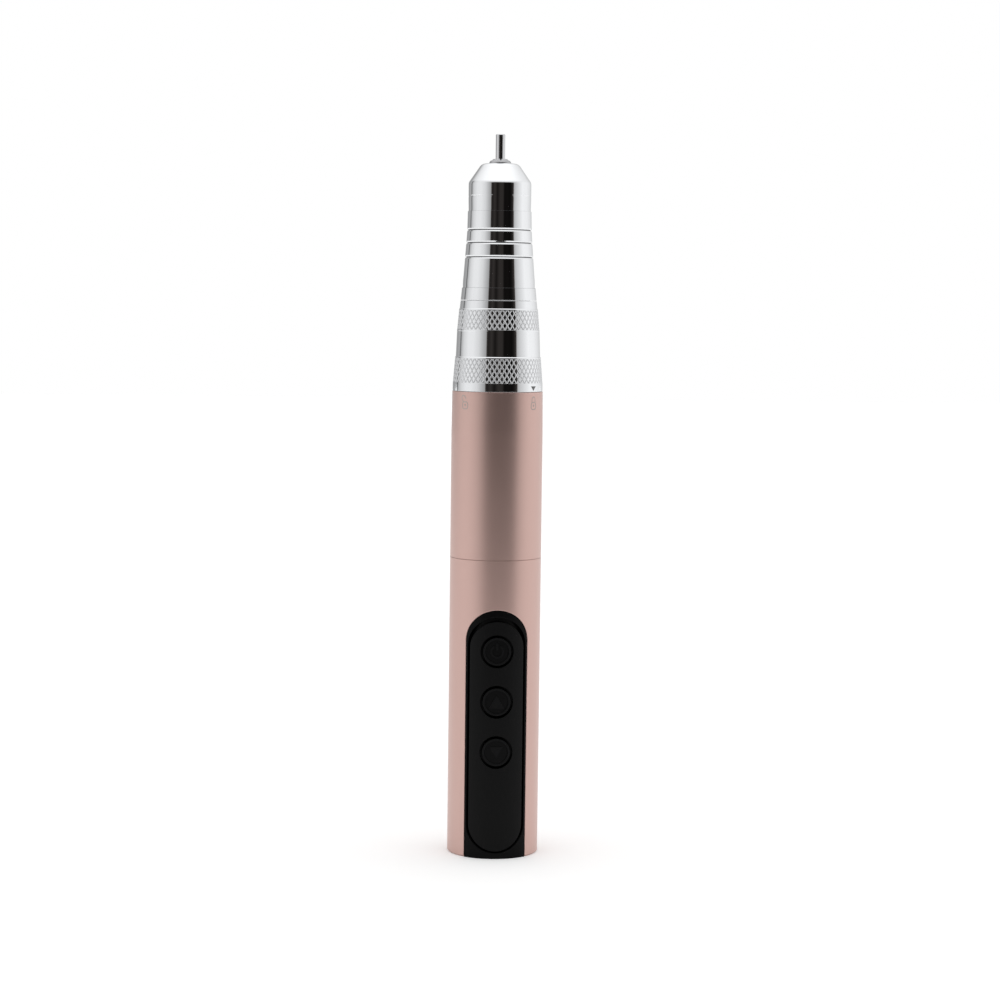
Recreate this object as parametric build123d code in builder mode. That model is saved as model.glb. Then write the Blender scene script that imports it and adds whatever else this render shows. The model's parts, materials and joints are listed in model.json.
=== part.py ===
"""Electric nail drill, in millimetres.

+Z runs up the drill's axis from the base to the chuck. The origin is the centre of the base, and the
button panel faces -Y.
"""

import os
from math import cos, hypot, pi, radians, sin, tan

from build123d import *

# Casing
TUBE_R = 11.5
TUBE_WALL = 1.0
TUBE_BORE = TUBE_R - TUBE_WALL
SEAM_Z = 75.2
SEAM_GAP = 0.05
UPPER_TOP_Z = 117.05
UPPER_TOP_R = 11.38
TAPER_Z = 107.0
EDGE = 0.3
SEAM_EDGE = 0.05
RIM_ROUND = 0.15

# Button panel
SLOT_HALF = 7.6
SLOT_CENTRE_Z = 55.2
FRAME_R = 11.42
PLATE_R = 11.34
PLATE_THICKNESS = 1.2
PLATE_HALF = 6.68
PLATE_LOW_Z = 1.85
PLATE_HIGH_Z = 59.85
PLATE_GAP = 0.42
PLATE_TOP_GAP = 1.17
BUTTON_PITCH = 12.7
BUTTON_DOWN_Z = 27.0
BUTTON_Z = {
    "down": BUTTON_DOWN_Z,
    "up": BUTTON_DOWN_Z + BUTTON_PITCH,
    "power": BUTTON_DOWN_Z + 2 * BUTTON_PITCH,
}
BUTTON_R = 3.5
BUTTON_HOLE_R = 4.15
BUTTON_FLANGE_R = 4.35
DISH_R = 2.95
DISH_DEPTH = 0.2
SYMBOL_R = 11.34

# Board, battery and charging inlet
BOARD_FRONT_Y = -6.5
BOARD_THICKNESS = 1.0
BOARD_BACK_Y = BOARD_FRONT_Y + BOARD_THICKNESS
BOARD_HALF = 6.5
BOARD_LOW_Z = 2.7
BOARD_HIGH_Z = 67.2
SWITCH_SIZE = 5.2
SWITCH_DEPTH = 1.2
PLUNGER_R = 1.0
PLUNGER_TIP_Y = -8.3
CELL_R = 7.0
CELL_Y = 3.0
CELL_LOW_Z = 11.3
CELL_HIGH_Z = 60.4
CELL_TIP_Z = 61.3
CAP_THICKNESS = 2.5
USB_WIDTH = 8.94
USB_HEIGHT = 3.26
USB_SKIN = 0.3
USB_Y = -3.85
USB_LOW_Z = 0.5
USB_HIGH_Z = 7.85
POST_X = 6.2
POST_Y = 4.5

# Motor
MOTOR_R = 9.0
MOTOR_WALL = 0.8
MOTOR_LOW_Z = 80.0
MOTOR_HIGH_Z = 108.0
SHAFT_R = 1.0
RUNNING_FIT = 0.03
MOUNT_HIGH_Z = 110.5

# Chuck and nose
SLEEVE_LOW_Z = 117.15
SLEEVE_HIGH_Z = 139.7
SLEEVE_BORE = 8.06
BARREL_R = 8.0
NOSE_LOW_Z = 139.8
NOSE_HIGH_Z = 173.9
BEARING_OUTER = 6.0
BEARING_INNER = 3.0
BEARING_WIDTH = 4.0
REAR_BEARING_Z = 121.0
FRONT_BEARING_Z = 163.2
SPINDLE_R = 3.0
SPINDLE_NOSE_R = 2.75
SPINDLE_BORE = 2.0
SPINDLE_HIGH_Z = 174.6
TWIST = 97.0
OPENING = 0.8
CAM_Z = 133.5
CAM_PIN_R = 0.75
CAM_GROOVE_R = 0.87
DETENT_Z = 126.5
PIN_R = 1.175
PIN_LOW_Z = 161.0
PIN_HIGH_Z = 181.2

pieces = {}


def tube(outer, inner, low, high):
    """A plain round tube about the drill's axis, or a disc where inner is 0."""
    with BuildPart() as piece:
        with BuildSketch(Plane.XY.offset(low)):
            Circle(outer)
            if inner > 0:
                Circle(inner, mode=Mode.SUBTRACT)
        extrude(amount=high - low)
    return piece


def turned(outline):
    """A piece turned about the drill's axis from an outline of (radius, height) points."""
    with BuildPart() as piece:
        with BuildSketch(Plane.XZ):
            with BuildLine():
                Polyline(*outline, close=True)
            make_face()
        revolve(axis=Axis.Z)
    return piece


def stadium_bar(half_width, low, high, depth=TUBE_R + 1):
    """A bar towards -Y with a round-ended outline, from low to high."""
    with BuildPart() as piece:
        with BuildSketch(Plane.XZ):
            with Locations((0, (low + high) / 2)):
                SlotOverall(high - low, 2 * half_width, rotation=90)
        extrude(amount=depth)
    return piece


def arch_bar(half_width, centre_z, low, depth=TUBE_R + 1):
    """A bar towards -Y with a round top and a square bottom at low."""
    with BuildPart() as piece:
        with BuildSketch(Plane.XZ):
            with Locations((0, centre_z)):
                Circle(half_width)
            with Locations((0, (centre_z + low) / 2)):
                Rectangle(2 * half_width, centre_z - low)
        extrude(amount=depth)
    return piece


def spring_coil(mean_r, wire_r, height, turns):
    """A round-wire coil standing on the XY plane about the Z axis."""
    with BuildPart() as piece:
        with BuildLine():
            coil = Helix(pitch=height / turns, height=height, radius=mean_r)
        with BuildSketch(Plane(origin=coil @ 0, z_dir=coil % 0)):
            Circle(wire_r)
        sweep(path=coil, is_frenet=True)
    return piece


def rim_edges(piece, radius):
    """The piece's edges at this radius on the drill's outside, towards -Y, but not its level rings."""
    found = []
    for edge in piece.edges():
        points = [edge @ place for place in (0, 0.25, 0.5, 0.75, 1)]
        on_surface = all(
            abs(hypot(point.X, point.Y) - radius) < 0.02 and point.Y < 0 for point in points
        )
        heights = [point.Z for point in points]
        level = max(heights) - min(heights) < 1e-6
        if on_surface and not level:
            found.append(edge)
    return found


# --- Lower casing -------------------------------------------------------------------------------

slot_cut = arch_bar(SLOT_HALF, SLOT_CENTRE_Z, -1.0)

with BuildPart() as lower_tube:
    add(tube(TUBE_R, TUBE_BORE, 0, SEAM_Z - SEAM_GAP / 2))
    rings = lower_tube.edges().filter_by(GeomType.CIRCLE)
    chamfer(rings.group_by(Axis.Z)[0].sort_by(SortBy.RADIUS)[-1], EDGE)
    rings = lower_tube.edges().filter_by(GeomType.CIRCLE)
    chamfer(rings.group_by(Axis.Z)[-1].sort_by(SortBy.RADIUS)[-1], SEAM_EDGE)
    add(slot_cut, mode=Mode.SUBTRACT)
    fillet(rim_edges(lower_tube, TUBE_R), RIM_ROUND)
pieces["lower_tube"] = lower_tube

FRAME_FIT = 0.06
FLANGE_HALF = SLOT_HALF + 0.7
FLANGE_INNER_R = 9.4
frame_front = arch_bar(SLOT_HALF - FRAME_FIT, SLOT_CENTRE_Z, 0)
frame_flange = arch_bar(FLANGE_HALF, SLOT_CENTRE_Z, CAP_THICKNESS + 0.1)
frame_pocket = stadium_bar(
    PLATE_HALF + PLATE_GAP, PLATE_LOW_Z - PLATE_GAP, PLATE_HIGH_Z + PLATE_TOP_GAP
)
pocket_floor_r = PLATE_R - PLATE_THICKNESS - 0.02
STEM_HOLE_R = 4.7
with BuildPart() as panel_frame:
    add(tube(FRAME_R, TUBE_BORE - 0.05, 0, SLOT_CENTRE_Z + SLOT_HALF))
    add(frame_front, mode=Mode.INTERSECT)
    flange_tube = tube(TUBE_BORE - 0.05, FLANGE_INNER_R, 0, SLOT_CENTRE_Z + FLANGE_HALF)
    add(flange_tube.part.intersect(frame_flange.part))
    pocket_tube = tube(TUBE_R + 1, pocket_floor_r, -1, SLOT_CENTRE_Z + FLANGE_HALF)
    add(pocket_tube.part.intersect(frame_pocket.part), mode=Mode.SUBTRACT)
    with BuildSketch(Plane.XZ):
        with Locations(*[(0, z) for z in BUTTON_Z.values()]):
            Circle(STEM_HOLE_R)
    extrude(amount=TUBE_R, mode=Mode.SUBTRACT)
    fillet(rim_edges(panel_frame, FRAME_R), RIM_ROUND)
pieces["panel_frame"] = panel_frame

with BuildPart() as face_plate:
    add(tube(PLATE_R, PLATE_R - PLATE_THICKNESS, 0, SEAM_Z))
    add(stadium_bar(PLATE_HALF, PLATE_LOW_Z, PLATE_HIGH_Z), mode=Mode.INTERSECT)
    fillet(rim_edges(face_plate, PLATE_R), RIM_ROUND)
    with BuildSketch(Plane.XZ):
        with Locations(*[(0, z) for z in BUTTON_Z.values()]):
            Circle(BUTTON_HOLE_R)
    extrude(amount=TUBE_R, mode=Mode.SUBTRACT)
pieces["face_plate"] = face_plate

SCREW_HEAD_R = 1.5
SCREW_R = 0.8
SCREW_HEAD_DEPTH = 0.9
plate_clearance = tube(TUBE_R, pocket_floor_r - 0.05, -1, SEAM_Z).part.intersect(frame_pocket.part)
with BuildPart() as end_cap:
    add(tube(TUBE_BORE - 0.1, 0, 0, CAP_THICKNESS))
    with BuildSketch(Plane.XY):
        with Locations((0, USB_Y)):
            SlotOverall(USB_WIDTH + 0.3, USB_HEIGHT + 0.3)
    extrude(amount=CAP_THICKNESS, mode=Mode.SUBTRACT)
    add(plate_clearance, mode=Mode.SUBTRACT)
    with BuildSketch(Plane.XY):
        with Locations((POST_X, POST_Y), (-POST_X, POST_Y)):
            Circle(SCREW_R + 0.1)
    extrude(amount=CAP_THICKNESS, mode=Mode.SUBTRACT)
    with BuildSketch(Plane.XY):
        with Locations((POST_X, POST_Y), (-POST_X, POST_Y)):
            Circle(SCREW_HEAD_R + 0.1)
    extrude(amount=SCREW_HEAD_DEPTH + 0.2, mode=Mode.SUBTRACT)
pieces["end_cap"] = end_cap

SCREW_TIP_Z = 6.6
with BuildPart() as end_cap_screws:
    with BuildSketch(Plane.XY.offset(0.2)):
        with Locations((POST_X, POST_Y), (-POST_X, POST_Y)):
            Circle(SCREW_HEAD_R)
    extrude(amount=SCREW_HEAD_DEPTH)
    with BuildSketch(Plane.XY.offset(0.2)):
        with Locations((POST_X, POST_Y), (-POST_X, POST_Y)):
            Circle(SCREW_R)
    extrude(amount=SCREW_TIP_Z - 0.2)
    with BuildSketch(Plane.XY.offset(0.2)):
        with Locations((POST_X, POST_Y), (-POST_X, POST_Y)):
            Rectangle(1.8, 0.35)
            Rectangle(0.35, 1.8)
    extrude(amount=0.4, mode=Mode.SUBTRACT)
pieces["end_cap_screws"] = end_cap_screws

# --- Battery, board and charging inlet ----------------------------------------------------------

CRADLE_R = TUBE_BORE - 0.15
CRADLE_LOW_Z = 8.5
CRADLE_HIGH_Z = 64.4
CRADLE_WALL = 1.8
LEDGE_R = 9.3
LEDGE_Y = BOARD_BACK_Y + 0.05
RAIL_Y = -4.2


def cradle_outline():
    """The cradle's section: the tube's round, cut flat in front, with a narrower ledge for the board."""
    with BuildSketch(mode=Mode.PRIVATE) as outline:
        Circle(CRADLE_R)
        with Locations((0, RAIL_Y - TUBE_R)):
            Rectangle(4 * TUBE_R, 2 * TUBE_R, mode=Mode.SUBTRACT)
        with BuildSketch(mode=Mode.PRIVATE) as ledge:
            Circle(LEDGE_R)
            with Locations((0, LEDGE_Y - TUBE_R)):
                Rectangle(4 * TUBE_R, 2 * TUBE_R, mode=Mode.SUBTRACT)
        add(ledge.sketch)
    return outline.sketch


with BuildPart() as battery_cradle:
    with BuildSketch(Plane.XY.offset(CRADLE_LOW_Z)):
        add(cradle_outline())
    extrude(amount=CRADLE_HIGH_Z - CRADLE_LOW_Z)
    with BuildSketch(Plane.XY.offset(CRADLE_LOW_Z + CRADLE_WALL)):
        with Locations((0, CELL_Y)):
            Circle(CELL_R + 0.15)
        with Locations((0, TUBE_R)):
            Rectangle(10.0, 2 * TUBE_R)
        with Locations((0, BOARD_BACK_Y)):
            Rectangle(10.0, 2 * abs(BOARD_BACK_Y))
    extrude(amount=CRADLE_HIGH_Z - CRADLE_LOW_Z - 2 * CRADLE_WALL, mode=Mode.SUBTRACT)
    with BuildSketch(Plane.XY.offset(CRADLE_HIGH_Z - CRADLE_WALL)):
        with Locations((0, LEDGE_Y)):
            Rectangle(8.0, 3.0)
    extrude(amount=CRADLE_WALL, mode=Mode.SUBTRACT)
    with BuildSketch(Plane.XY.offset(CAP_THICKNESS + 0.05)):
        with Locations((POST_X, POST_Y), (-POST_X, POST_Y)):
            Circle(1.9)
    extrude(amount=CRADLE_LOW_Z - CAP_THICKNESS)
    with BuildSketch(Plane.XY.offset(CAP_THICKNESS)):
        with Locations((POST_X, POST_Y), (-POST_X, POST_Y)):
            Circle(SCREW_R + 0.02)
    extrude(amount=SCREW_TIP_Z + 0.3 - CAP_THICKNESS, mode=Mode.SUBTRACT)
pieces["battery_cradle"] = battery_cradle

with BuildPart() as battery_cell:
    with BuildSketch(Plane.XY.offset(CELL_LOW_Z)):
        with Locations((0, CELL_Y)):
            Circle(CELL_R)
    extrude(amount=CELL_HIGH_Z - CELL_LOW_Z)
    fillet(battery_cell.edges().group_by(Axis.Z)[-1], 0.6)
    with BuildSketch(Plane.XY.offset(CELL_HIGH_Z - 0.1)):
        with Locations((0, CELL_Y)):
            Circle(2.6)
    extrude(amount=CELL_TIP_Z - CELL_HIGH_Z + 0.1)
pieces["battery_cell"] = battery_cell

TAB = 0.15
TAB_LEG = 2.3


def battery_tab(low, leg_low):
    """A bent nickel strip from the middle of the cell's end to the back of the board."""
    with BuildPart() as tab:
        with BuildSketch(Plane.XY.offset(low)):
            with Locations((0, (BOARD_BACK_Y + CELL_Y + 2) / 2)):
                Rectangle(4.0, CELL_Y + 2 - BOARD_BACK_Y)
        extrude(amount=TAB)
        with BuildSketch(Plane.XY.offset(leg_low)):
            with Locations((0, BOARD_BACK_Y + TAB / 2)):
                Rectangle(4.0, TAB)
        extrude(amount=TAB_LEG)
    return tab


pieces["battery_tab_positive"] = battery_tab(CELL_TIP_Z, CELL_TIP_Z + TAB - TAB_LEG)
pieces["battery_tab_negative"] = battery_tab(CELL_LOW_Z - TAB, CELL_LOW_Z - TAB)

with BuildPart() as main_board:
    with BuildSketch(Plane.XZ.offset(-BOARD_BACK_Y)):
        with Locations((0, (BOARD_LOW_Z + BOARD_HIGH_Z) / 2)):
            RectangleRounded(2 * BOARD_HALF, BOARD_HIGH_Z - BOARD_LOW_Z, 0.8)
    extrude(amount=BOARD_THICKNESS)
pieces["main_board"] = main_board

with BuildPart() as controller_chip:
    with BuildSketch(Plane.XZ.offset(-BOARD_FRONT_Y)):
        with Locations((0, BUTTON_DOWN_Z + BUTTON_PITCH / 2)):
            Rectangle(5.0, 4.4)
    extrude(amount=0.9)
    chamfer(controller_chip.edges().group_by(Axis.Y)[0], 0.15)
pieces["controller_chip"] = controller_chip

with BuildPart() as switch_bodies:
    with BuildSketch(Plane.XZ.offset(-BOARD_FRONT_Y)):
        with Locations(*[(0, z) for z in BUTTON_Z.values()]):
            RectangleRounded(SWITCH_SIZE, SWITCH_SIZE, 0.4)
    extrude(amount=SWITCH_DEPTH)
    with BuildSketch(Plane.XZ.offset(-BOARD_FRONT_Y + 0.35)):
        with Locations(*[(0, z) for z in BUTTON_Z.values()]):
            Circle(PLUNGER_R + 0.06)
    extrude(amount=SWITCH_DEPTH, mode=Mode.SUBTRACT)
pieces["switch_bodies"] = switch_bodies

with BuildPart() as usb_shell:
    with BuildSketch(Plane.XY.offset(USB_LOW_Z)):
        with Locations((0, USB_Y)):
            SlotOverall(USB_WIDTH, USB_HEIGHT)
    extrude(amount=USB_HIGH_Z - USB_LOW_Z)
    with BuildSketch(Plane.XY.offset(USB_LOW_Z)):
        with Locations((0, USB_Y)):
            SlotOverall(USB_WIDTH - 2 * USB_SKIN, USB_HEIGHT - 2 * USB_SKIN)
    extrude(amount=USB_HIGH_Z - USB_LOW_Z - USB_SKIN, mode=Mode.SUBTRACT)
pieces["usb_shell"] = usb_shell

with BuildPart() as usb_tongue:
    with BuildSketch(Plane.XY.offset(USB_LOW_Z + 1.0)):
        with Locations((0, USB_Y)):
            Rectangle(6.7, 0.7)
    extrude(amount=USB_HIGH_Z - USB_SKIN - USB_LOW_Z - 1.0)
    with BuildSketch(Plane.XY.offset(USB_HIGH_Z - USB_SKIN - 1.2)):
        with Locations((0, USB_Y)):
            SlotOverall(USB_WIDTH - 2 * USB_SKIN - 0.1, USB_HEIGHT - 2 * USB_SKIN - 0.1)
    extrude(amount=1.2)
pieces["usb_tongue"] = usb_tongue

# --- Buttons ------------------------------------------------------------------------------------

SYMBOL_DEPTH = 1.0
CAP_BACK_Y = -9.05
FLANGE_BACK_Y = -8.65


def power_symbol():
    """An open ring with a bar in its gap."""
    with BuildSketch(mode=Mode.PRIVATE) as symbol:
        Circle(1.7)
        Circle(1.25, mode=Mode.SUBTRACT)
        with Locations((0, 1.6)):
            Rectangle(1.5, 1.6, mode=Mode.SUBTRACT)
        with Locations((0, 1.2)):
            Rectangle(0.45, 1.8)
    return symbol.sketch


def triangle_symbol(width, height, up):
    """A solid triangle that points up or down."""
    tip = height / 2 if up else -height / 2
    with BuildSketch(mode=Mode.PRIVATE) as symbol:
        with BuildLine():
            Polyline((-width / 2, -tip), (width / 2, -tip), (0, tip), close=True)
        make_face()
    return symbol.sketch


SYMBOLS = {
    "down": triangle_symbol(3.4, 2.8, up=False),
    "up": triangle_symbol(3.8, 3.2, up=True),
    "power": power_symbol(),
}

dish_depths = tube(TUBE_R + 1, PLATE_R - DISH_DEPTH, 0, SEAM_Z)

for name, z in BUTTON_Z.items():
    with BuildPart() as dish:
        with BuildSketch(Plane.XZ):
            with Locations((0, z)):
                Circle(DISH_R)
        extrude(amount=TUBE_R + 1)
        add(dish_depths, mode=Mode.INTERSECT)
    with BuildPart() as symbol_relief:
        with BuildSketch(Plane.XZ.offset(TUBE_R - SYMBOL_DEPTH)):
            with Locations((0, z)):
                add(SYMBOLS[name])
        extrude(amount=SYMBOL_DEPTH)
        add(tube(SYMBOL_R, 0, 0, SEAM_Z), mode=Mode.INTERSECT)
    with BuildPart() as button:
        with BuildSketch(Plane.XZ):
            with Locations((0, z)):
                Circle(BUTTON_R)
        extrude(amount=TUBE_R)
        add(tube(PLATE_R, 0, 0, SEAM_Z), mode=Mode.INTERSECT)
        fillet(rim_edges(button, PLATE_R), RIM_ROUND)
        add(dish, mode=Mode.SUBTRACT)
        with BuildSketch(Plane.XZ):
            Rectangle(4 * TUBE_R, 4 * SEAM_Z)
        extrude(amount=-CAP_BACK_Y, mode=Mode.SUBTRACT)
        with BuildSketch(Plane.XZ.offset(-FLANGE_BACK_Y)):
            with Locations((0, z)):
                Circle(BUTTON_FLANGE_R)
        extrude(amount=FLANGE_BACK_Y - CAP_BACK_Y)
        with BuildSketch(Plane.XZ.offset(-PLUNGER_TIP_Y)):
            with Locations((0, z)):
                Circle(1.2)
        extrude(amount=PLUNGER_TIP_Y - FLANGE_BACK_Y)
        add(symbol_relief)
    pieces[f"button_{name}"] = button
    with BuildPart() as plunger:
        with BuildSketch(Plane.XZ.offset(-BOARD_FRONT_Y + 0.8)):
            with Locations((0, z)):
                Circle(PLUNGER_R)
        extrude(amount=-PLUNGER_TIP_Y + BOARD_FRONT_Y - 0.8)
    pieces[f"plunger_{name}"] = plunger

# --- Upper casing and motor ---------------------------------------------------------------------

pieces["joint_ring"] = tube(TUBE_BORE - 0.05, MOTOR_R + 0.1, SEAM_Z - 6, SEAM_Z + 6)

pieces["upper_tube"] = turned(
    [
        (TUBE_BORE, SEAM_Z + SEAM_GAP / 2),
        (TUBE_R - SEAM_EDGE, SEAM_Z + SEAM_GAP / 2),
        (TUBE_R, SEAM_Z + SEAM_GAP / 2 + SEAM_EDGE),
        (TUBE_R, TAPER_Z),
        (UPPER_TOP_R, UPPER_TOP_Z - SEAM_EDGE),
        (UPPER_TOP_R - SEAM_EDGE, UPPER_TOP_Z),
        (TUBE_BORE, UPPER_TOP_Z),
    ]
)

BELL_HIGH_Z = MOTOR_LOW_Z + 2.5
BUSH_R = 2.9
BOSS_R = 3.5
BOSS_HIGH_Z = MOTOR_HIGH_Z + 1.5
MOUNT_SCREW_X = 5.5
can_bore = MOTOR_R - MOTOR_WALL
with BuildPart() as motor_can:
    add(
        turned(
            [
                (can_bore, MOTOR_LOW_Z),
                (MOTOR_R, MOTOR_LOW_Z),
                (MOTOR_R, MOTOR_HIGH_Z),
                (BOSS_R, MOTOR_HIGH_Z),
                (BOSS_R, BOSS_HIGH_Z),
                (BUSH_R, BOSS_HIGH_Z),
                (BUSH_R, MOTOR_HIGH_Z - 1),
                (can_bore, MOTOR_HIGH_Z - 1),
            ]
        )
    )
    with BuildSketch(Plane.XY.offset(MOTOR_HIGH_Z - 2)):
        with Locations((MOUNT_SCREW_X, 0), (-MOUNT_SCREW_X, 0)):
            Circle(SCREW_R + 0.02)
    extrude(amount=3, mode=Mode.SUBTRACT)
pieces["motor_can"] = motor_can

MAGNET_OUTER = can_bore - 0.05
MAGNET_INNER = 6.65
MAGNET_GAP = 60
MAGNET_LOW_Z = 88.5
MAGNET_HIGH_Z = 105.0
with BuildPart() as motor_magnets:
    add(tube(MAGNET_OUTER, MAGNET_INNER, MAGNET_LOW_Z, MAGNET_HIGH_Z))
    for side in (0, 180):
        with BuildSketch(Plane.XY.offset(MAGNET_LOW_Z)):
            with BuildLine():
                reach = 2 * MOTOR_R
                half = radians(MAGNET_GAP / 2)
                middle = radians(side)
                Polyline(
                    (0, 0),
                    (reach * cos(middle - half), reach * sin(middle - half)),
                    (reach * cos(middle + half), reach * sin(middle + half)),
                    close=True,
                )
            make_face()
        extrude(amount=MAGNET_HIGH_Z - MAGNET_LOW_Z, mode=Mode.SUBTRACT)
pieces["motor_magnets"] = motor_magnets

BRUSH_X = 2.55
BRUSH_HIGH_Z = 87.3
ARM_X = 4.6
ARM = 0.3
with BuildPart() as motor_end_bell:
    add(tube(can_bore - 0.05, 2.5, MOTOR_LOW_Z, BELL_HIGH_Z))
    with BuildSketch(Plane.XY.offset(MOTOR_LOW_Z)):
        with Locations((ARM_X + ARM / 2, 0), (-ARM_X - ARM / 2, 0)):
            Rectangle(ARM + 0.1, 3.1)
    extrude(amount=BELL_HIGH_Z - MOTOR_LOW_Z, mode=Mode.SUBTRACT)
pieces["motor_end_bell"] = motor_end_bell

pieces["motor_bush_rear"] = tube(2.48, SHAFT_R + RUNNING_FIT, MOTOR_LOW_Z + 0.2, BELL_HIGH_Z)
pieces["motor_bush_front"] = tube(BUSH_R - 0.02, SHAFT_R + RUNNING_FIT, MOTOR_HIGH_Z - 1, BOSS_HIGH_Z)

TERMINAL_Z = 79.2
for name, side in {"left": -1, "right": 1}.items():
    with BuildPart() as brush:
        with BuildSketch(Plane.XY.offset(TERMINAL_Z)):
            with Locations((side * (ARM_X + ARM / 2), 0)):
                Rectangle(ARM, 3.0)
        extrude(amount=BRUSH_HIGH_Z - TERMINAL_Z)
        with BuildSketch(Plane.XY.offset(BRUSH_HIGH_Z - 2.4)):
            with Locations((side * (BRUSH_X + ARM_X) / 2, 0)):
                Rectangle(ARM_X - BRUSH_X, 2.0)
        extrude(amount=2.4)
    pieces[f"brush_{name}"] = brush

COMMUTATOR_R = 2.5
COMMUTATOR_LOW_Z = 84.5
COMMUTATOR_HIGH_Z = 88.2
SEGMENT_LENGTH = 3.0
with BuildPart() as commutator:
    add(tube(COMMUTATOR_R, SHAFT_R + 0.01, COMMUTATOR_LOW_Z, COMMUTATOR_HIGH_Z))
    with BuildSketch(Plane.XY.offset(COMMUTATOR_LOW_Z)):
        with PolarLocations(COMMUTATOR_R - 0.2, 3, start_angle=60):
            Rectangle(1.0, 0.3)
    extrude(amount=SEGMENT_LENGTH, mode=Mode.SUBTRACT)
pieces["commutator"] = commutator

CORE_LOW_Z = 90.0
CORE_HIGH_Z = 103.0
SHOE_R = 6.4
HUB_R = 2.4
ARM_HALF = 1.3
with BuildPart() as armature_core:
    with BuildSketch(Plane.XY.offset(CORE_LOW_Z)):
        Circle(SHOE_R)
        Circle(SHOE_R - 1.0, mode=Mode.SUBTRACT)
        with PolarLocations(SHOE_R, 3, start_angle=60):
            Rectangle(4.0, 1.4, mode=Mode.SUBTRACT)
        Circle(HUB_R)
        with PolarLocations((SHOE_R - 0.8) / 2, 3):
            Rectangle(SHOE_R - 0.8, 2 * ARM_HALF)
        Circle(SHAFT_R + 0.01, mode=Mode.SUBTRACT)
    extrude(amount=CORE_HIGH_Z - CORE_LOW_Z)
pieces["armature_core"] = armature_core

COIL_HALF = 2.5
COIL_TURN = 1.6
COIL_MIDDLE_R = 3.75
with BuildPart() as armature_windings:
    with BuildSketch(Plane.XY.offset(CORE_LOW_Z - COIL_TURN)):
        with PolarLocations(COIL_MIDDLE_R, 3):
            Rectangle(1.7, 2 * COIL_HALF)
    extrude(amount=CORE_HIGH_Z - CORE_LOW_Z + 2 * COIL_TURN)
    with BuildSketch(Plane.XY.offset(CORE_LOW_Z - 0.05)):
        with PolarLocations(COIL_MIDDLE_R, 3):
            Rectangle(2.4, 2 * ARM_HALF + 0.1)
    extrude(amount=CORE_HIGH_Z - CORE_LOW_Z + 0.1, mode=Mode.SUBTRACT)
pieces["armature_windings"] = armature_windings

SHAFT_LOW_Z = 78.0
SHAFT_HIGH_Z = 115.6
pieces["motor_shaft"] = tube(SHAFT_R, 0, SHAFT_LOW_Z, SHAFT_HIGH_Z)

WIRE_R = 0.55
WIRE_CORNER = 0.45


def wire(side):
    """An insulated wire from the back of the board up to one motor terminal."""
    points = [
        (side * 3.0, BOARD_BACK_Y + WIRE_R + 0.05, 65.2),
        (side * 3.2, -4.5, 69.6),
        (side * 4.8, -2.0, 74.4),
        (side * (ARM_X + ARM / 2), -0.4, TERMINAL_Z - 0.25),
    ]
    runs = [Vector(*end) - Vector(*start) for start, end in zip(points, points[1:])]
    radii = []
    for before, after in zip(runs, runs[1:]):
        half_turn = radians(before.get_angle(after) / 2)
        radii.append(WIRE_CORNER * min(before.length, after.length) / tan(half_turn))
    with BuildPart() as piece:
        with BuildLine():
            path = FilletPolyline(*points, radius=radii)
        with BuildSketch(Plane(origin=path @ 0, z_dir=path % 0)):
            Circle(WIRE_R)
        sweep(path=path)
    return piece


pieces["motor_wire_red"] = wire(1)
pieces["motor_wire_black"] = wire(-1)

with BuildPart() as motor_mount:
    add(tube(TUBE_BORE - 0.05, BOSS_R + 0.05, MOTOR_HIGH_Z + 0.02, MOUNT_HIGH_Z))
    with BuildSketch(Plane.XY.offset(MOTOR_HIGH_Z)):
        with Locations((MOUNT_SCREW_X, 0), (-MOUNT_SCREW_X, 0)):
            Circle(SCREW_R + 0.05)
    extrude(amount=MOUNT_HIGH_Z - MOTOR_HIGH_Z, mode=Mode.SUBTRACT)
    with BuildSketch(Plane.XY.offset(MOUNT_HIGH_Z - SCREW_HEAD_DEPTH - 0.1)):
        with Locations((MOUNT_SCREW_X, 0), (-MOUNT_SCREW_X, 0)):
            Circle(SCREW_HEAD_R + 0.1)
    extrude(amount=SCREW_HEAD_DEPTH + 0.1, mode=Mode.SUBTRACT)
pieces["motor_mount"] = motor_mount

with BuildPart() as motor_screws:
    with BuildSketch(Plane.XY.offset(MOTOR_HIGH_Z - 1)):
        with Locations((MOUNT_SCREW_X, 0), (-MOUNT_SCREW_X, 0)):
            Circle(SCREW_R)
    extrude(amount=MOUNT_HIGH_Z - MOTOR_HIGH_Z + 0.5)
    with BuildSketch(Plane.XY.offset(MOUNT_HIGH_Z - SCREW_HEAD_DEPTH - 0.08)):
        with Locations((MOUNT_SCREW_X, 0), (-MOUNT_SCREW_X, 0)):
            Circle(SCREW_HEAD_R)
    extrude(amount=SCREW_HEAD_DEPTH)
pieces["motor_screws"] = motor_screws

# --- Jaw coupling -------------------------------------------------------------------------------

JAW_LOW_Z = 113.6
JAW_HIGH_Z = 116.4
JAW_GAP = 0.3
JAW_HALF = 40
JAW_INNER_R = 1.3
COUPLING_R = 3.2
COUPLING_LOW_Z = 111.4
COUPLING_HIGH_Z = 119.6
SPINDLE_STUB_R = 1.88


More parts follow.
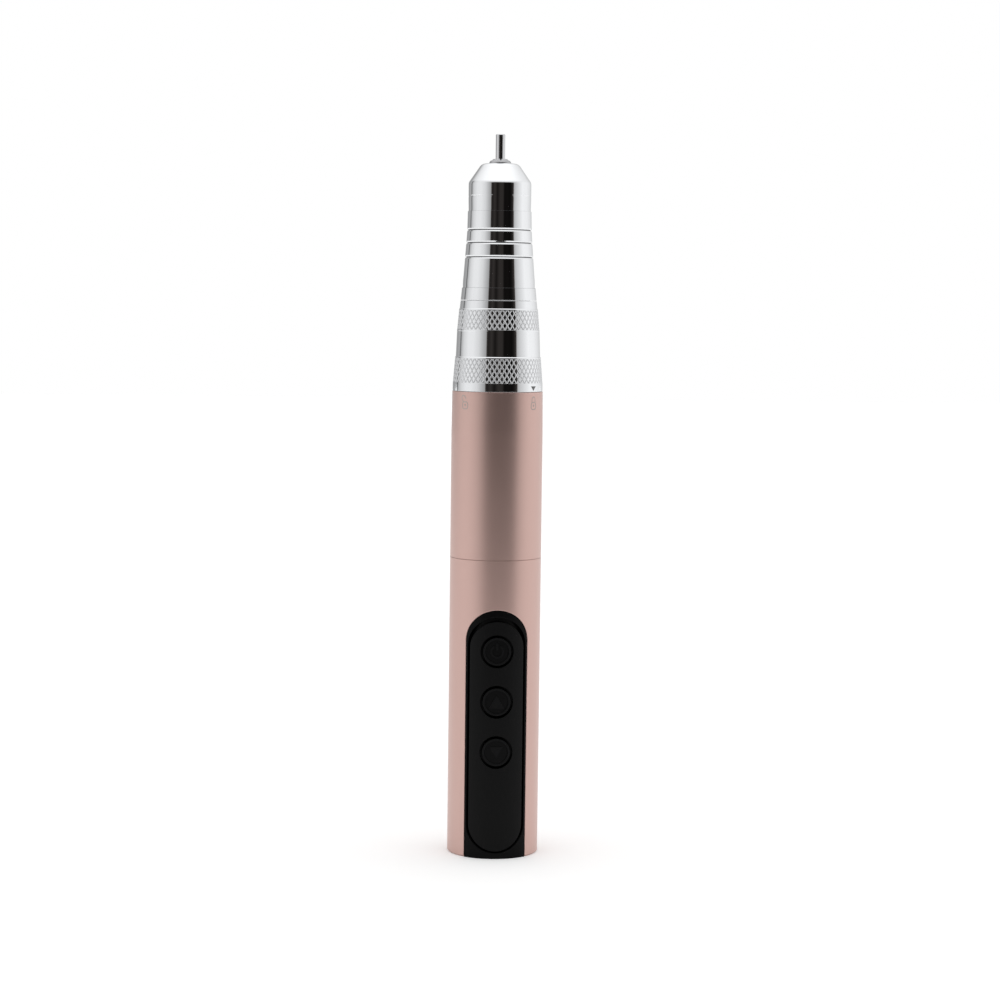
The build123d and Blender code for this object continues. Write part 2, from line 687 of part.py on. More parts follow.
def jaw_hub(hub_low, hub_high, jaw_low, jaw_high, bore, first_jaw):
    """Half of a two-jaw coupling: a hub with two quarter jaws."""
    reach = 2 * COUPLING_R
    with BuildPart() as hub:
        add(tube(COUPLING_R, bore, hub_low, hub_high))
        for angle in (first_jaw, first_jaw + 180):
            start, end = radians(angle - JAW_HALF), radians(angle + JAW_HALF)
            with BuildSketch(Plane.XY.offset(jaw_low)):
                Circle(COUPLING_R)
                Circle(JAW_INNER_R, mode=Mode.SUBTRACT)
                with BuildSketch(mode=Mode.PRIVATE) as sector:
                    with BuildLine():
                        Polyline(
                            (0, 0),
                            (reach * cos(start), reach * sin(start)),
                            (reach * cos(end), reach * sin(end)),
                            close=True,
                        )
                    make_face()
                add(sector.sketch, mode=Mode.INTERSECT)
            extrude(amount=jaw_high - jaw_low)
    return hub


pieces["motor_coupling"] = jaw_hub(
    COUPLING_LOW_Z, JAW_LOW_Z, JAW_LOW_Z, JAW_HIGH_Z - JAW_GAP, SHAFT_R + 0.01, 0
)
pieces["spindle_coupling"] = jaw_hub(
    JAW_HIGH_Z, COUPLING_HIGH_Z, JAW_LOW_Z + JAW_GAP, JAW_HIGH_Z, SPINDLE_STUB_R + 0.02, 90
)

# --- Spindle housing and nose -------------------------------------------------------------------

HOUSING_LOW_Z = 111.0
THREAD_R = 7.1
HOUSING_HIGH_Z = 150.4
SHOULDER_R = 5.2
SLOT_MARGIN = 0.1
with BuildPart() as spindle_housing:
    add(
        turned(
            [
                (BEARING_OUTER, HOUSING_LOW_Z),
                (TUBE_BORE - 0.05, HOUSING_LOW_Z),
                (TUBE_BORE - 0.05, UPPER_TOP_Z - 0.15),
                (BARREL_R, UPPER_TOP_Z - 0.15),
                (BARREL_R, NOSE_LOW_Z - 0.02),
                (THREAD_R, NOSE_LOW_Z - 0.02),
                (THREAD_R, HOUSING_HIGH_Z),
                (BEARING_OUTER, HOUSING_HIGH_Z),
                (BEARING_OUTER, REAR_BEARING_Z + BEARING_WIDTH + 3),
                (SHOULDER_R, REAR_BEARING_Z + BEARING_WIDTH + 3),
                (SHOULDER_R, REAR_BEARING_Z + BEARING_WIDTH),
                (BEARING_OUTER, REAR_BEARING_Z + BEARING_WIDTH),
            ]
        )
    )
    with BuildSketch(Plane.XZ):
        with Locations((0, CAM_Z + OPENING / 2)):
            SlotOverall(
                OPENING + 2 * (CAM_PIN_R + SLOT_MARGIN),
                2 * (CAM_PIN_R + 0.05),
                rotation=90,
            )
    extrude(amount=TUBE_R, both=True, mode=Mode.SUBTRACT)
    with BuildSketch(Plane.YZ.offset(5.6)):
        with Locations((0, DETENT_Z)):
            Circle(0.8)
    extrude(amount=4, mode=Mode.SUBTRACT)
pieces["spindle_housing"] = spindle_housing

FOOT_R = 9.53
FOOT_TOP_R = 9.24
FOOT_HIGH_Z = 142.9
WAIST_R = 9.03
CONE_TOP_R = 7.97
NECK_R = 7.79
NECK_LOW_Z = 162.0
HEAD_R = 7.84
HEAD_RING_Z = 165.65
HEAD_RING_DEPTH = 0.045
DOME_LOW_Z = 168.6
DOME_CONE = (
    # radius, height at its two ends
    (7.59, 169.5),
    (5.09, 173.12),
)
FACE_R = 3.3
MOUTH_R = 2.95
GROOVES = (
    # height, nose radius there
    (150.55, 8.54),
    (154.1, 8.28),
    (157.3, 8.08),
)
LEDGE = 0.01
GROOVE_BEVEL = 0.1
GROOVE_BEVEL_HEIGHT = 0.32
GROOVE_DEPTH = 0.36
GROOVE_HALF = 0.12
dome_slope = (DOME_CONE[1][0] - DOME_CONE[0][0], DOME_CONE[1][1] - DOME_CONE[0][1])
with BuildPart() as nose_cone:
    with BuildSketch(Plane.XZ):
        with BuildLine():
            Polyline(
                (THREAD_R + 0.05, NOSE_LOW_Z),
                (FOOT_R - 0.05, NOSE_LOW_Z),
                (FOOT_R, NOSE_LOW_Z + 0.1),
                (FOOT_TOP_R, FOOT_HIGH_Z - LEDGE),
                (WAIST_R, FOOT_HIGH_Z),
            )
            Spline(
                (WAIST_R, FOOT_HIGH_Z),
                (9.03, 143.9),
                (8.99, 144.8),
                (8.9, 145.8),
                (8.43, 152.1),
                (8.11, 156.7),
                (CONE_TOP_R, NECK_LOW_Z - LEDGE),
            )
            Line((CONE_TOP_R, NECK_LOW_Z - LEDGE), (NECK_R, NECK_LOW_Z))
            Spline(
                (NECK_R, NECK_LOW_Z),
                (7.8, 163.1),
                (HEAD_R - 0.01, HEAD_RING_Z - 0.6),
                (HEAD_R - 0.005, HEAD_RING_Z - 0.35),
                (HEAD_R - HEAD_RING_DEPTH, HEAD_RING_Z),
                (HEAD_R - 0.005, HEAD_RING_Z + 0.35),
                (HEAD_R, HEAD_RING_Z + 0.6),
            )
            Line((HEAD_R, HEAD_RING_Z + 0.6), (HEAD_R, DOME_LOW_Z))
            Spline(
                (HEAD_R, DOME_LOW_Z),
                (HEAD_R - 0.04, 169.05),
                DOME_CONE[0],
                tangents=((0, 1), dome_slope),
            )
            Line(*DOME_CONE)
            Spline(
                DOME_CONE[1],
                (4.59, 173.62),
                (3.9, 173.85),
                (FACE_R, NOSE_HIGH_Z),
                tangents=(dome_slope, (-1, 0)),
            )
            Polyline(
                (FACE_R, NOSE_HIGH_Z),
                (MOUTH_R, NOSE_HIGH_Z),
                (MOUTH_R, 169.8),
                (4.6, 169.8),
                (4.6, FRONT_BEARING_Z + BEARING_WIDTH),
                (BEARING_OUTER + 0.02, FRONT_BEARING_Z + BEARING_WIDTH),
                (BEARING_OUTER + 0.02, HOUSING_HIGH_Z + 0.2),
                (THREAD_R + 0.05, HOUSING_HIGH_Z + 0.2),
                (THREAD_R + 0.05, NOSE_LOW_Z),
            )
        make_face()
    revolve(axis=Axis.Z)
    for groove_z, groove_r in GROOVES:
        with BuildSketch(Plane.XZ):
            with BuildLine():
                Polyline(
                    (groove_r + GROOVE_BEVEL, groove_z - GROOVE_HALF - 2 * GROOVE_BEVEL_HEIGHT),
                    (groove_r - GROOVE_BEVEL, groove_z - GROOVE_HALF),
                    (groove_r - GROOVE_DEPTH, groove_z - GROOVE_HALF),
                    (groove_r - GROOVE_DEPTH, groove_z + GROOVE_HALF),
                    (groove_r - GROOVE_BEVEL, groove_z + GROOVE_HALF),
                    (groove_r + GROOVE_BEVEL, groove_z + GROOVE_HALF + 2 * GROOVE_BEVEL_HEIGHT),
                    close=True,
                )
            make_face()
        revolve(axis=Axis.Z, mode=Mode.SUBTRACT)
pieces["nose_cone"] = nose_cone

# --- Twist sleeve -------------------------------------------------------------------------------

GROOVE_DEPTH_R = 9.35
GROOVE_OVERRUN = 6.5
groove_span = TWIST + 2 * GROOVE_OVERRUN
groove_rise = OPENING * groove_span / TWIST
with BuildPart() as cam_groove:
    with BuildLine():
        groove_path = Helix(pitch=groove_rise * 360 / groove_span, height=groove_rise, radius=SLEEVE_BORE)
    with BuildSketch(Plane(origin=groove_path @ 0, x_dir=(1, 0, 0), z_dir=groove_path % 0)):
        Rectangle(2 * (GROOVE_DEPTH_R - SLEEVE_BORE), 2 * CAM_GROOVE_R)
    sweep(path=groove_path, is_frenet=True)
groove_low_z = CAM_Z - OPENING * GROOVE_OVERRUN / TWIST
cam_grooves = [
    Pos(0, 0, groove_low_z) * Rot(0, 0, start_angle - GROOVE_OVERRUN) * cam_groove.part
    for start_angle in (90, 270)
]

with BuildPart() as twist_sleeve:
    add(
        turned(
            [
                (SLEEVE_BORE, SLEEVE_LOW_Z),
                (11.2, SLEEVE_LOW_Z),
                (11.32, SLEEVE_LOW_Z + 0.12),
                (11.3, 118.8),
                (11.22, 121.2),
                (10.74, 125.6),
                (10.62, 125.75),
                (10.32, 132.2),
                (9.86, 137.6),
                (9.76, 137.75),
                (9.55, SLEEVE_HIGH_Z - 0.1),
                (9.45, SLEEVE_HIGH_Z),
                (SLEEVE_BORE, SLEEVE_HIGH_Z),
            ]
        )
    )
    add(tube(8.32, SLEEVE_BORE - 1, DETENT_Z - 0.9, DETENT_Z + 0.9), mode=Mode.SUBTRACT)
    add(cam_grooves, mode=Mode.SUBTRACT)
pieces["twist_sleeve"] = twist_sleeve

with BuildPart() as detent_ball:
    with Locations((7.5, 0, DETENT_Z)):
        Sphere(0.75)
pieces["detent_ball"] = detent_ball

detent_coil = spring_coil(0.5, 0.1, 0.85, 4)
with BuildPart() as detent_spring:
    add(Pos(5.75, 0, DETENT_Z) * Rot(0, 90, 0) * detent_coil.part)
pieces["detent_spring"] = detent_spring

# --- Release collar and collet ------------------------------------------------------------------

COLLAR_LOW_Z = 131.0
COLLAR_HIGH_Z = 136.5
COLLAR_R = BEARING_OUTER - 0.05
with BuildPart() as release_collar:
    add(tube(COLLAR_R, SPINDLE_R + 0.2, COLLAR_LOW_Z, COLLAR_HIGH_Z))
    with BuildSketch(Plane.XZ):
        with Locations((0, CAM_Z)):
            Circle(CAM_PIN_R + 0.01)
    extrude(amount=TUBE_R, both=True, mode=Mode.SUBTRACT)
pieces["release_collar"] = release_collar

with BuildPart() as cam_pins:
    with BuildSketch(Plane.XZ.offset(3.9)):
        with Locations((0, CAM_Z)):
            Circle(CAM_PIN_R)
    extrude(amount=GROOVE_DEPTH_R - 0.2 - 3.9)
    with BuildSketch(Plane.XZ.offset(-3.9)):
        with Locations((0, CAM_Z)):
            Circle(CAM_PIN_R)
    extrude(amount=-(GROOVE_DEPTH_R - 0.2 - 3.9))
pieces["cam_pins"] = cam_pins

THRUST_LOW_Z = COLLAR_HIGH_Z + 0.3
THRUST_HIGH_Z = THRUST_LOW_Z + 2.4
CROSS_PIN_Z = (THRUST_LOW_Z + THRUST_HIGH_Z) / 2
CROSS_PIN_R = 0.6
with BuildPart() as thrust_ring:
    add(tube(5.4, SPINDLE_R + 0.05, THRUST_LOW_Z, THRUST_HIGH_Z))
    with BuildSketch(Plane.YZ):
        with Locations((0, CROSS_PIN_Z)):
            Circle(CROSS_PIN_R + 0.01)
    extrude(amount=TUBE_R, both=True, mode=Mode.SUBTRACT)
pieces["thrust_ring"] = thrust_ring

with BuildPart() as cross_pin:
    with BuildSketch(Plane.YZ):
        with Locations((0, CROSS_PIN_Z)):
            Circle(CROSS_PIN_R)
    extrude(amount=5.3, both=True)
pieces["cross_pin"] = cross_pin

COLLET_R = 1.95
COLLET_LOW_Z = 155.2
COLLET_HIGH_Z = 175.0
COLLET_TIP_R = 2.2
COLLET_FACE_R = 1.75
COLLET_SLOT_LOW_Z = 160.0
SEAT_LOW_Z = 171.0
COLLET_BORE = PIN_R + 0.02
DRAWBAR_LOW_Z = 133.0
DRAWBAR_R = 1.9
STUD_R = COLLET_BORE - 0.02
STUD_HIGH_Z = 158.5
with BuildPart() as drawbar:
    add(
        turned(
            [
                (0, DRAWBAR_LOW_Z),
                (DRAWBAR_R, DRAWBAR_LOW_Z),
                (DRAWBAR_R, COLLET_LOW_Z),
                (STUD_R, COLLET_LOW_Z),
                (STUD_R, STUD_HIGH_Z),
                (0, STUD_HIGH_Z),
            ]
        )
    )
    with BuildSketch(Plane.YZ):
        with Locations((0, CROSS_PIN_Z)):
            Circle(CROSS_PIN_R + 0.01)
    extrude(amount=TUBE_R, both=True, mode=Mode.SUBTRACT)
pieces["drawbar"] = drawbar

with BuildPart() as collet:
    add(
        turned(
            [
                (COLLET_BORE, COLLET_LOW_Z),
                (COLLET_R, COLLET_LOW_Z),
                (COLLET_R, SEAT_LOW_Z),
                (COLLET_TIP_R, SPINDLE_HIGH_Z),
                (COLLET_FACE_R, COLLET_HIGH_Z),
                (COLLET_BORE + 0.15, COLLET_HIGH_Z),
                (COLLET_BORE, COLLET_HIGH_Z - 0.15),
            ]
        )
    )
    with BuildSketch(Plane.XY.offset(COLLET_SLOT_LOW_Z)):
        with PolarLocations(2.0, 3, start_angle=30):
            Rectangle(2.6, 0.35)
    extrude(amount=COLLET_HIGH_Z - COLLET_SLOT_LOW_Z, mode=Mode.SUBTRACT)
pieces["collet"] = collet

SPRING_SEAT_Z = 152.0
SPRING_SEAT_R = 5.0
SPRING_SEAT = 1.2
SPINDLE_LOW_Z = 117.0
SPINDLE_BORE_LOW_Z = 131.0
SPINDLE_STEP_Z = 168.0
SPINDLE_MOUTH_R = 2.36
with BuildPart() as spindle_tube:
    add(
        turned(
            [
                (0, SPINDLE_LOW_Z),
                (SPINDLE_STUB_R, SPINDLE_LOW_Z),
                (SPINDLE_STUB_R, COUPLING_HIGH_Z + 0.05),
                (SPINDLE_R, COUPLING_HIGH_Z + 0.05),
                (SPINDLE_R, SPRING_SEAT_Z),
                (SPRING_SEAT_R, SPRING_SEAT_Z),
                (SPRING_SEAT_R, SPRING_SEAT_Z + SPRING_SEAT),
                (SPINDLE_R, SPRING_SEAT_Z + SPRING_SEAT),
                (SPINDLE_R, SPINDLE_STEP_Z),
                (SPINDLE_NOSE_R, SPINDLE_STEP_Z + 0.3),
                (SPINDLE_NOSE_R, SPINDLE_HIGH_Z - 0.6),
                (SPINDLE_NOSE_R - 0.03, SPINDLE_HIGH_Z - 0.4),
                (SPINDLE_NOSE_R - 0.25, SPINDLE_HIGH_Z - 0.1),
                (SPINDLE_MOUTH_R + 0.06, SPINDLE_HIGH_Z),
                (SPINDLE_MOUTH_R, SPINDLE_HIGH_Z),
                (SPINDLE_BORE, SEAT_LOW_Z),
                (SPINDLE_BORE, SPINDLE_BORE_LOW_Z),
                (0, SPINDLE_BORE_LOW_Z),
            ]
        )
    )
    with BuildSketch(Plane.YZ):
        with Locations((0, CROSS_PIN_Z + OPENING / 2)):
            SlotOverall(OPENING + 2 * (CROSS_PIN_R + SLOT_MARGIN), 2 * (CROSS_PIN_R + 0.05), rotation=90)
    extrude(amount=TUBE_R, both=True, mode=Mode.SUBTRACT)
pieces["spindle_tube"] = spindle_tube

COIL_R = 3.9
COIL_WIRE = 0.35
coil_low = THRUST_HIGH_Z + COIL_WIRE + 0.05
coil_high = SPRING_SEAT_Z - COIL_WIRE - 0.05
closing_coil = spring_coil(COIL_R, COIL_WIRE, coil_high - coil_low, 7)
with BuildPart() as collet_spring:
    add(Pos(0, 0, coil_low) * closing_coil.part)
pieces["collet_spring"] = collet_spring

with BuildPart() as bit_pin:
    add(tube(PIN_R, 0, PIN_LOW_Z, PIN_HIGH_Z))
    chamfer(bit_pin.edges().group_by(Axis.Z)[-1], 0.2)
    chamfer(bit_pin.edges().group_by(Axis.Z)[0], 0.2)
pieces["bit_pin"] = bit_pin

# --- Ball bearings ------------------------------------------------------------------------------

BALL_R = 0.8
PITCH_R = (BEARING_OUTER + BEARING_INNER) / 2
RACE_R = BALL_R + 0.05
BALL_COUNT = 7


def bearing_ring(outer, inner, low):
    """One ring of a ball bearing, with its ball track turned in."""
    with BuildPart() as ring:
        add(tube(outer, inner, low, low + BEARING_WIDTH))
        with BuildSketch(Plane.XZ):
            with Locations((PITCH_R, low + BEARING_WIDTH / 2)):
                Circle(RACE_R)
        revolve(axis=Axis.Z, mode=Mode.SUBTRACT)
    return ring


for name, low in {"rear": REAR_BEARING_Z, "front": FRONT_BEARING_Z}.items():
    pieces[f"{name}_bearing_outer"] = bearing_ring(BEARING_OUTER - 0.01, PITCH_R + 0.45, low)
    pieces[f"{name}_bearing_inner"] = bearing_ring(PITCH_R - 0.45, BEARING_INNER + 0.01, low)

with BuildPart() as bearing_balls:
    for low in (REAR_BEARING_Z, FRONT_BEARING_Z):
        for index in range(BALL_COUNT):
            turn = 2 * pi * index / BALL_COUNT
            with Locations((PITCH_R * cos(turn), PITCH_R * sin(turn), low + BEARING_WIDTH / 2)):
                Sphere(BALL_R)
pieces["bearing_balls"] = bearing_balls

pieces["bearing_spacer"] = tube(BEARING_OUTER - 0.05, 5.15, HOUSING_HIGH_Z + 0.25, FRONT_BEARING_Z)

os.makedirs("parts", exist_ok=True)
for name, piece in pieces.items():
    piece.part.label = name
    export_step(piece.part, f"parts/{name}.step")
print(len(pieces), "pieces")
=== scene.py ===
"""Visual model of the electric nail drill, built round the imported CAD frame.

+Z is up the drill's axis. Sizes of the drill's pieces are in millimetres, and are multiplied by MM where a
vertex is made. The floor and the camera are in metres.
"""

import json
from math import cos, radians, sin, tau

import bmesh
import bpy
from mathutils import Matrix, Vector


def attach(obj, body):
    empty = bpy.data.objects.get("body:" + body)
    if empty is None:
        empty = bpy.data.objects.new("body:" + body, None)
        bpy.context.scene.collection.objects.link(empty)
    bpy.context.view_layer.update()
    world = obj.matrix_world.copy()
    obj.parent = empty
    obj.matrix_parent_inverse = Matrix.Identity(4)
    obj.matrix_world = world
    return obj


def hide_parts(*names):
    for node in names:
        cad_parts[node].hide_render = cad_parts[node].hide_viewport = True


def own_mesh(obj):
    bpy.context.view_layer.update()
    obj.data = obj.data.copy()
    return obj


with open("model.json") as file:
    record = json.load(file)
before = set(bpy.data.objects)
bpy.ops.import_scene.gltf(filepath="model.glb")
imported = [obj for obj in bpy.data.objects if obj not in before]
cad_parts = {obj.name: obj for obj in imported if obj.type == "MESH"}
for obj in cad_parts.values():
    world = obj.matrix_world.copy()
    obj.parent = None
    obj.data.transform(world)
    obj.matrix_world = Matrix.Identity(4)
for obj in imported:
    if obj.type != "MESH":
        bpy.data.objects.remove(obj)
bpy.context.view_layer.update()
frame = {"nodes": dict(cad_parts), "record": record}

MM = 0.001
MICRON = 1e-6

# A noise texture's values mostly lie between these two.
NOISE_LOW, NOISE_HIGH = 0.3, 0.7

# How much lighter the painted highlight makes plastic beyond a radius from the drill's axis, and the
# margin it blends over.
HIGHLIGHT_LIGHTER = 2.6
HIGHLIGHT_MARGIN = 30 * MICRON
# The buttons' rims and symbols stand beyond this radius from the drill's axis; their plastic is painted
# lighter there, a painted highlight on the raised parts.
BUTTON_HIGHLIGHT_R = 11.29

# ------------------------------------------------------------------------------------------------
# Materials
# ------------------------------------------------------------------------------------------------


class Shader:
    """A Principled material with a few helpers for building its node tree."""

    def __init__(self, name, **inputs):
        self.material = bpy.data.materials.new(name)
        self.material.use_nodes = True
        self.tree = self.material.node_tree
        self.surface = next(n for n in self.tree.nodes if n.type == "BSDF_PRINCIPLED")
        for socket, value in inputs.items():
            self.surface.inputs[socket.replace("_", " ")].default_value = value
        coordinates = self.node("ShaderNodeTexCoord")
        self.position = coordinates.outputs["Object"]

    def node(self, kind, **settings):
        """A new node, with its inputs or its properties set by name."""
        made = self.tree.nodes.new(kind)
        for name, value in settings.items():
            if name in made.inputs:
                made.inputs[name].default_value = value
            else:
                setattr(made, name, value)
        return made

    def link(self, source, target):
        self.tree.links.new(source, target)

    def scaled(self, x, y, z):
        """The object's coordinates times a scale on each axis."""
        mapping = self.node("ShaderNodeMapping")
        mapping.inputs["Scale"].default_value = (x, y, z)
        self.link(self.position, mapping.inputs["Vector"])
        return mapping.outputs["Vector"]

    def noise(self, vector, scale, detail=3.0, roughness=0.5):
        noise = self.node("ShaderNodeTexNoise", Scale=scale, Detail=detail, Roughness=roughness)
        self.link(vector, noise.inputs["Vector"])
        return noise.outputs["Fac"]

    def spread(self, value, low, high, source_low=NOISE_LOW, source_high=NOISE_HIGH):
        """value, from source_low..source_high, moved to low..high."""
        spread = self.node("ShaderNodeMapRange")
        spread.inputs["From Min"].default_value = source_low
        spread.inputs["From Max"].default_value = source_high
        spread.inputs["To Min"].default_value = low
        spread.inputs["To Max"].default_value = high
        self.link(value, spread.inputs["Value"])
        return spread.outputs["Result"]

    def colours(self, value, first, second):
        """A colour between first and second, by value."""
        ramp = self.node("ShaderNodeValToRGB")
        ramp.color_ramp.elements[0].color = (*first, 1)
        ramp.color_ramp.elements[1].color = (*second, 1)
        ramp.color_ramp.elements[0].position = NOISE_LOW
        ramp.color_ramp.elements[1].position = NOISE_HIGH
        self.link(value, ramp.inputs["Fac"])
        self.link(ramp.outputs["Color"], self.surface.inputs["Base Color"])

    def roughness(self, value, low, high):
        self.link(self.spread(value, low, high), self.surface.inputs["Roughness"])

    def bump(self, value, depth, strength=1.0):
        """Height from value, depth metres from its lowest to its highest."""
        bump = self.node("ShaderNodeBump")
        bump.inputs["Strength"].default_value = strength
        bump.inputs["Distance"].default_value = depth
        self.link(value, bump.inputs["Height"])
        self.link(bump.outputs["Normal"], self.surface.inputs["Normal"])


def shade(colour, factor):
    return tuple(channel * factor for channel in colour)


def anodised_metal(name, colour, roughness, grain=9000):
    """Bead-blasted, anodised aluminium: an even satin with a very fine grain."""
    shader = Shader(name, Metallic=1.0)
    blast = shader.noise(shader.position, grain, detail=2.0)
    cloud = shader.noise(shader.scaled(1, 1, 0.4), 60, detail=3.0)
    shader.colours(cloud, shade(colour, 0.985), shade(colour, 1.015))
    shader.roughness(cloud, roughness - 0.015, roughness + 0.015)
    shader.bump(blast, 2 * MICRON, 0.35)
    return shader.material


def polished_metal(name, colour, roughness):
    """Mirror-polished metal with faint turning lines round the axis and a few soft smears."""
    shader = Shader(name, Metallic=1.0)
    turning = shader.noise(shader.scaled(20, 20, 6000), 1.0, detail=2.0)
    smear = shader.noise(shader.scaled(1, 1, 0.5), 180, detail=4.0)
    shader.colours(smear, shade(colour, 0.97), colour)
    shader.roughness(smear, max(roughness - 0.015, 0.01), roughness + 0.02)
    shader.bump(turning, 0.15 * MICRON, 0.2)
    return shader.material


def turned_metal(name, colour, roughness, line_scale=9000):
    """Machined metal with fine rings round the drill's axis."""
    shader = Shader(name, Metallic=1.0)
    rings = shader.noise(shader.scaled(30, 30, line_scale), 1.0, detail=3.0)
    blotch = shader.noise(shader.position, 700, detail=3.0)
    shader.colours(blotch, shade(colour, 0.9), shade(colour, 1.05))
    shader.roughness(rings, roughness - 0.06, roughness + 0.06)
    shader.bump(rings, 1 * MICRON, 0.15)
    return shader.material


def moulded_plastic(name, colour, roughness, grain, depth, specular=0.5, highlight_radius=None):
    """Moulded plastic with its tool's fine texture. Given a radius, it is painted lighter beyond that
    distance from the drill's axis: a painted highlight on the raised parts.
    """
    shader = Shader(name)
    shader.surface.inputs["Specular IOR Level"].default_value = specular
    texture = shader.noise(shader.position, grain, detail=3.0)
    cloud = shader.noise(shader.position, 150, detail=4.0)
    # Painted highlight: a lighter colour on whatever stands beyond the radius.
    if highlight_radius:
        distance = shader.node("ShaderNodeVectorMath", operation="LENGTH")
        shader.link(shader.scaled(1, 1, 0), distance.inputs[0])
        edge = (highlight_radius - HIGHLIGHT_MARGIN, highlight_radius + HIGHLIGHT_MARGIN)
        painted_highlight = shader.spread(distance.outputs["Value"], 0, 1, *edge)
        shader.colours(painted_highlight, colour, shade(colour, HIGHLIGHT_LIGHTER))
    else:
        shader.colours(cloud, shade(colour, 0.9), shade(colour, 1.12))
    shader.roughness(cloud, roughness - 0.04, roughness + 0.04)
    shader.bump(texture, depth, 0.5)
    return shader.material


def wound_copper(name, colour):
    """Enamelled copper wire laid side by side along the drill."""
    shader = Shader(name, Metallic=1.0)
    turns = shader.node("ShaderNodeTexWave", Scale=1.0, Distortion=0.4)
    turns.bands_direction = "DIAGONAL"
    shader.link(shader.scaled(900, 900, 120), turns.inputs["Vector"])
    shader.colours(turns.outputs["Fac"], shade(colour, 0.55), shade(colour, 1.1))
    shader.roughness(turns.outputs["Fac"], 0.28, 0.4)
    shader.bump(turns.outputs["Fac"], 60 * MICRON, 0.6)
    return shader.material


def stacked_sheet(name, colour):
    """Thin steel sheets stacked along the axis."""
    shader = Shader(name, Metallic=1.0)
    sheets = shader.node("ShaderNodeTexWave", Scale=1.0, Distortion=0.0)
    sheets.bands_direction = "Z"
    shader.link(shader.scaled(1, 1, 320), sheets.inputs["Vector"])
    shader.colours(sheets.outputs["Fac"], shade(colour, 0.5), colour)
    shader.roughness(sheets.outputs["Fac"], 0.5, 0.38)
    shader.bump(sheets.outputs["Fac"], 40 * MICRON, 0.6)
    return shader.material


def solder_mask(name, colour):
    """A circuit board's green mask with tracks showing through it."""
    shader = Shader(name)
    tracks = shader.node("ShaderNodeTexBrick", Scale=1.0)
    tracks.inputs["Color1"].default_value = (*colour, 1)
    tracks.inputs["Color2"].default_value = (*shade(colour, 1.25), 1)
    tracks.inputs["Mortar"].default_value = (*shade(colour, 2.1), 1)
    tracks.inputs["Mortar Size"].default_value = 0.018
    turn = shader.node("ShaderNodeMapping")
    turn.inputs["Rotation"].default_value = (radians(90), 0, 0)
    turn.inputs["Scale"].default_value = (350, 350, 350)
    shader.link(shader.position, turn.inputs["Vector"])
    shader.link(turn.outputs["Vector"], tracks.inputs["Vector"])
    shader.link(tracks.outputs["Color"], shader.surface.inputs["Base Color"])
    shader.roughness(tracks.outputs["Fac"], 0.32, 0.24)
    shader.bump(tracks.outputs["Fac"], 20 * MICRON, 0.5)
    return shader.material


ROSE = (0.575, 0.395, 0.355)
CHROME = (0.80, 0.81, 0.825)

FINISHES = {
    # name: (maker, its colour in linear RGB, then its other settings in the maker's order)
    "anodised_rose": (anodised_metal, ROSE, 0.36),
    "panel_black": (moulded_plastic, (0.0016, 0.0016, 0.0017), 0.26, 5000, 1 * MICRON, 0.07),
    "plate_black": (moulded_plastic, (0.0022, 0.0022, 0.0023), 0.42, 6000, 4 * MICRON, 0.11),
    # Buttons: a painted highlight, lighter colour, on the raised rims and symbols.
    "button_black": (
        moulded_plastic,
        (0.0018, 0.0018, 0.0019),
        0.36,
        6000,
        3 * MICRON,
        0.08,
        BUTTON_HIGHLIGHT_R * MM,
    ),
    "polished_steel": (polished_metal, CHROME, 0.05),
    "tool_steel": (turned_metal, (0.42, 0.42, 0.43), 0.28),
    "pin_steel": (polished_metal, (0.60, 0.60, 0.61), 0.12),
    "bearing_steel": (polished_metal, (0.72, 0.72, 0.74), 0.09),
    "spring_steel": (turned_metal, (0.45, 0.45, 0.47), 0.3, 2500),
    "screw_steel": (turned_metal, (0.16, 0.16, 0.165), 0.35),
    "plated_steel": (turned_metal, (0.56, 0.56, 0.55), 0.3, 1500),
    "usb_plating": (turned_metal, (0.62, 0.62, 0.63), 0.26, 1500),
    "inner_plastic": (moulded_plastic, (0.03, 0.03, 0.032), 0.5, 3000, 6 * MICRON),
    "aluminium_inner": (turned_metal, (0.68, 0.68, 0.69), 0.33),
    "cell_wrap": (moulded_plastic, (0.03, 0.13, 0.4), 0.3, 1200, 8 * MICRON),
    "nickel": (turned_metal, (0.6, 0.57, 0.5), 0.3, 1500),
    "board_green": (solder_mask, (0.012, 0.10, 0.035)),
    "chip_black": (moulded_plastic, (0.015, 0.015, 0.016), 0.55, 4000, 6 * MICRON),
    "plunger_plastic": (moulded_plastic, (0.5, 0.5, 0.48), 0.4, 3000, 4 * MICRON),
    "magnet": (moulded_plastic, (0.035, 0.035, 0.037), 0.6, 2500, 12 * MICRON),
    "core_steel": (stacked_sheet, (0.34, 0.34, 0.35)),
    "copper": (wound_copper, (0.78, 0.32, 0.14)),
    "bronze": (turned_metal, (0.5, 0.33, 0.15), 0.4, 2500),
    "wire_red": (moulded_plastic, (0.42, 0.012, 0.012), 0.36, 3000, 4 * MICRON),
    "wire_black": (moulded_plastic, (0.012, 0.012, 0.012), 0.36, 3000, 4 * MICRON),
    "etched_mark": (moulded_plastic, (0.36, 0.34, 0.32), 0.6, 9000, 3 * MICRON, 0.3),
    "dark_mark": (moulded_plastic, (0.13, 0.13, 0.13), 0.55, 9000, 3 * MICRON, 0.3),
    # Darker chrome on the knurls' groove walls: painted shade in the grooves.
    "knurl_groove": (polished_metal, (0.56, 0.565, 0.575), 0.2),
    # Dark, dull steel in the nose's grooves and on its two ledges: painted shade in the recesses.
    "groove_metal": (turned_metal, (0.12, 0.12, 0.125), 0.5),
}
MATERIALS = {name: make(name, *settings) for name, (make, *settings) in FINISHES.items()}

for entry in frame["record"]["subparts"]:
    node = frame["nodes"][entry["node"]]
    node.data.materials.clear()
    node.data.materials.append(MATERIALS[entry["material_slot"]])

# ------------------------------------------------------------------------------------------------
# Mesh helpers
# ------------------------------------------------------------------------------------------------

SHARP = radians(28)


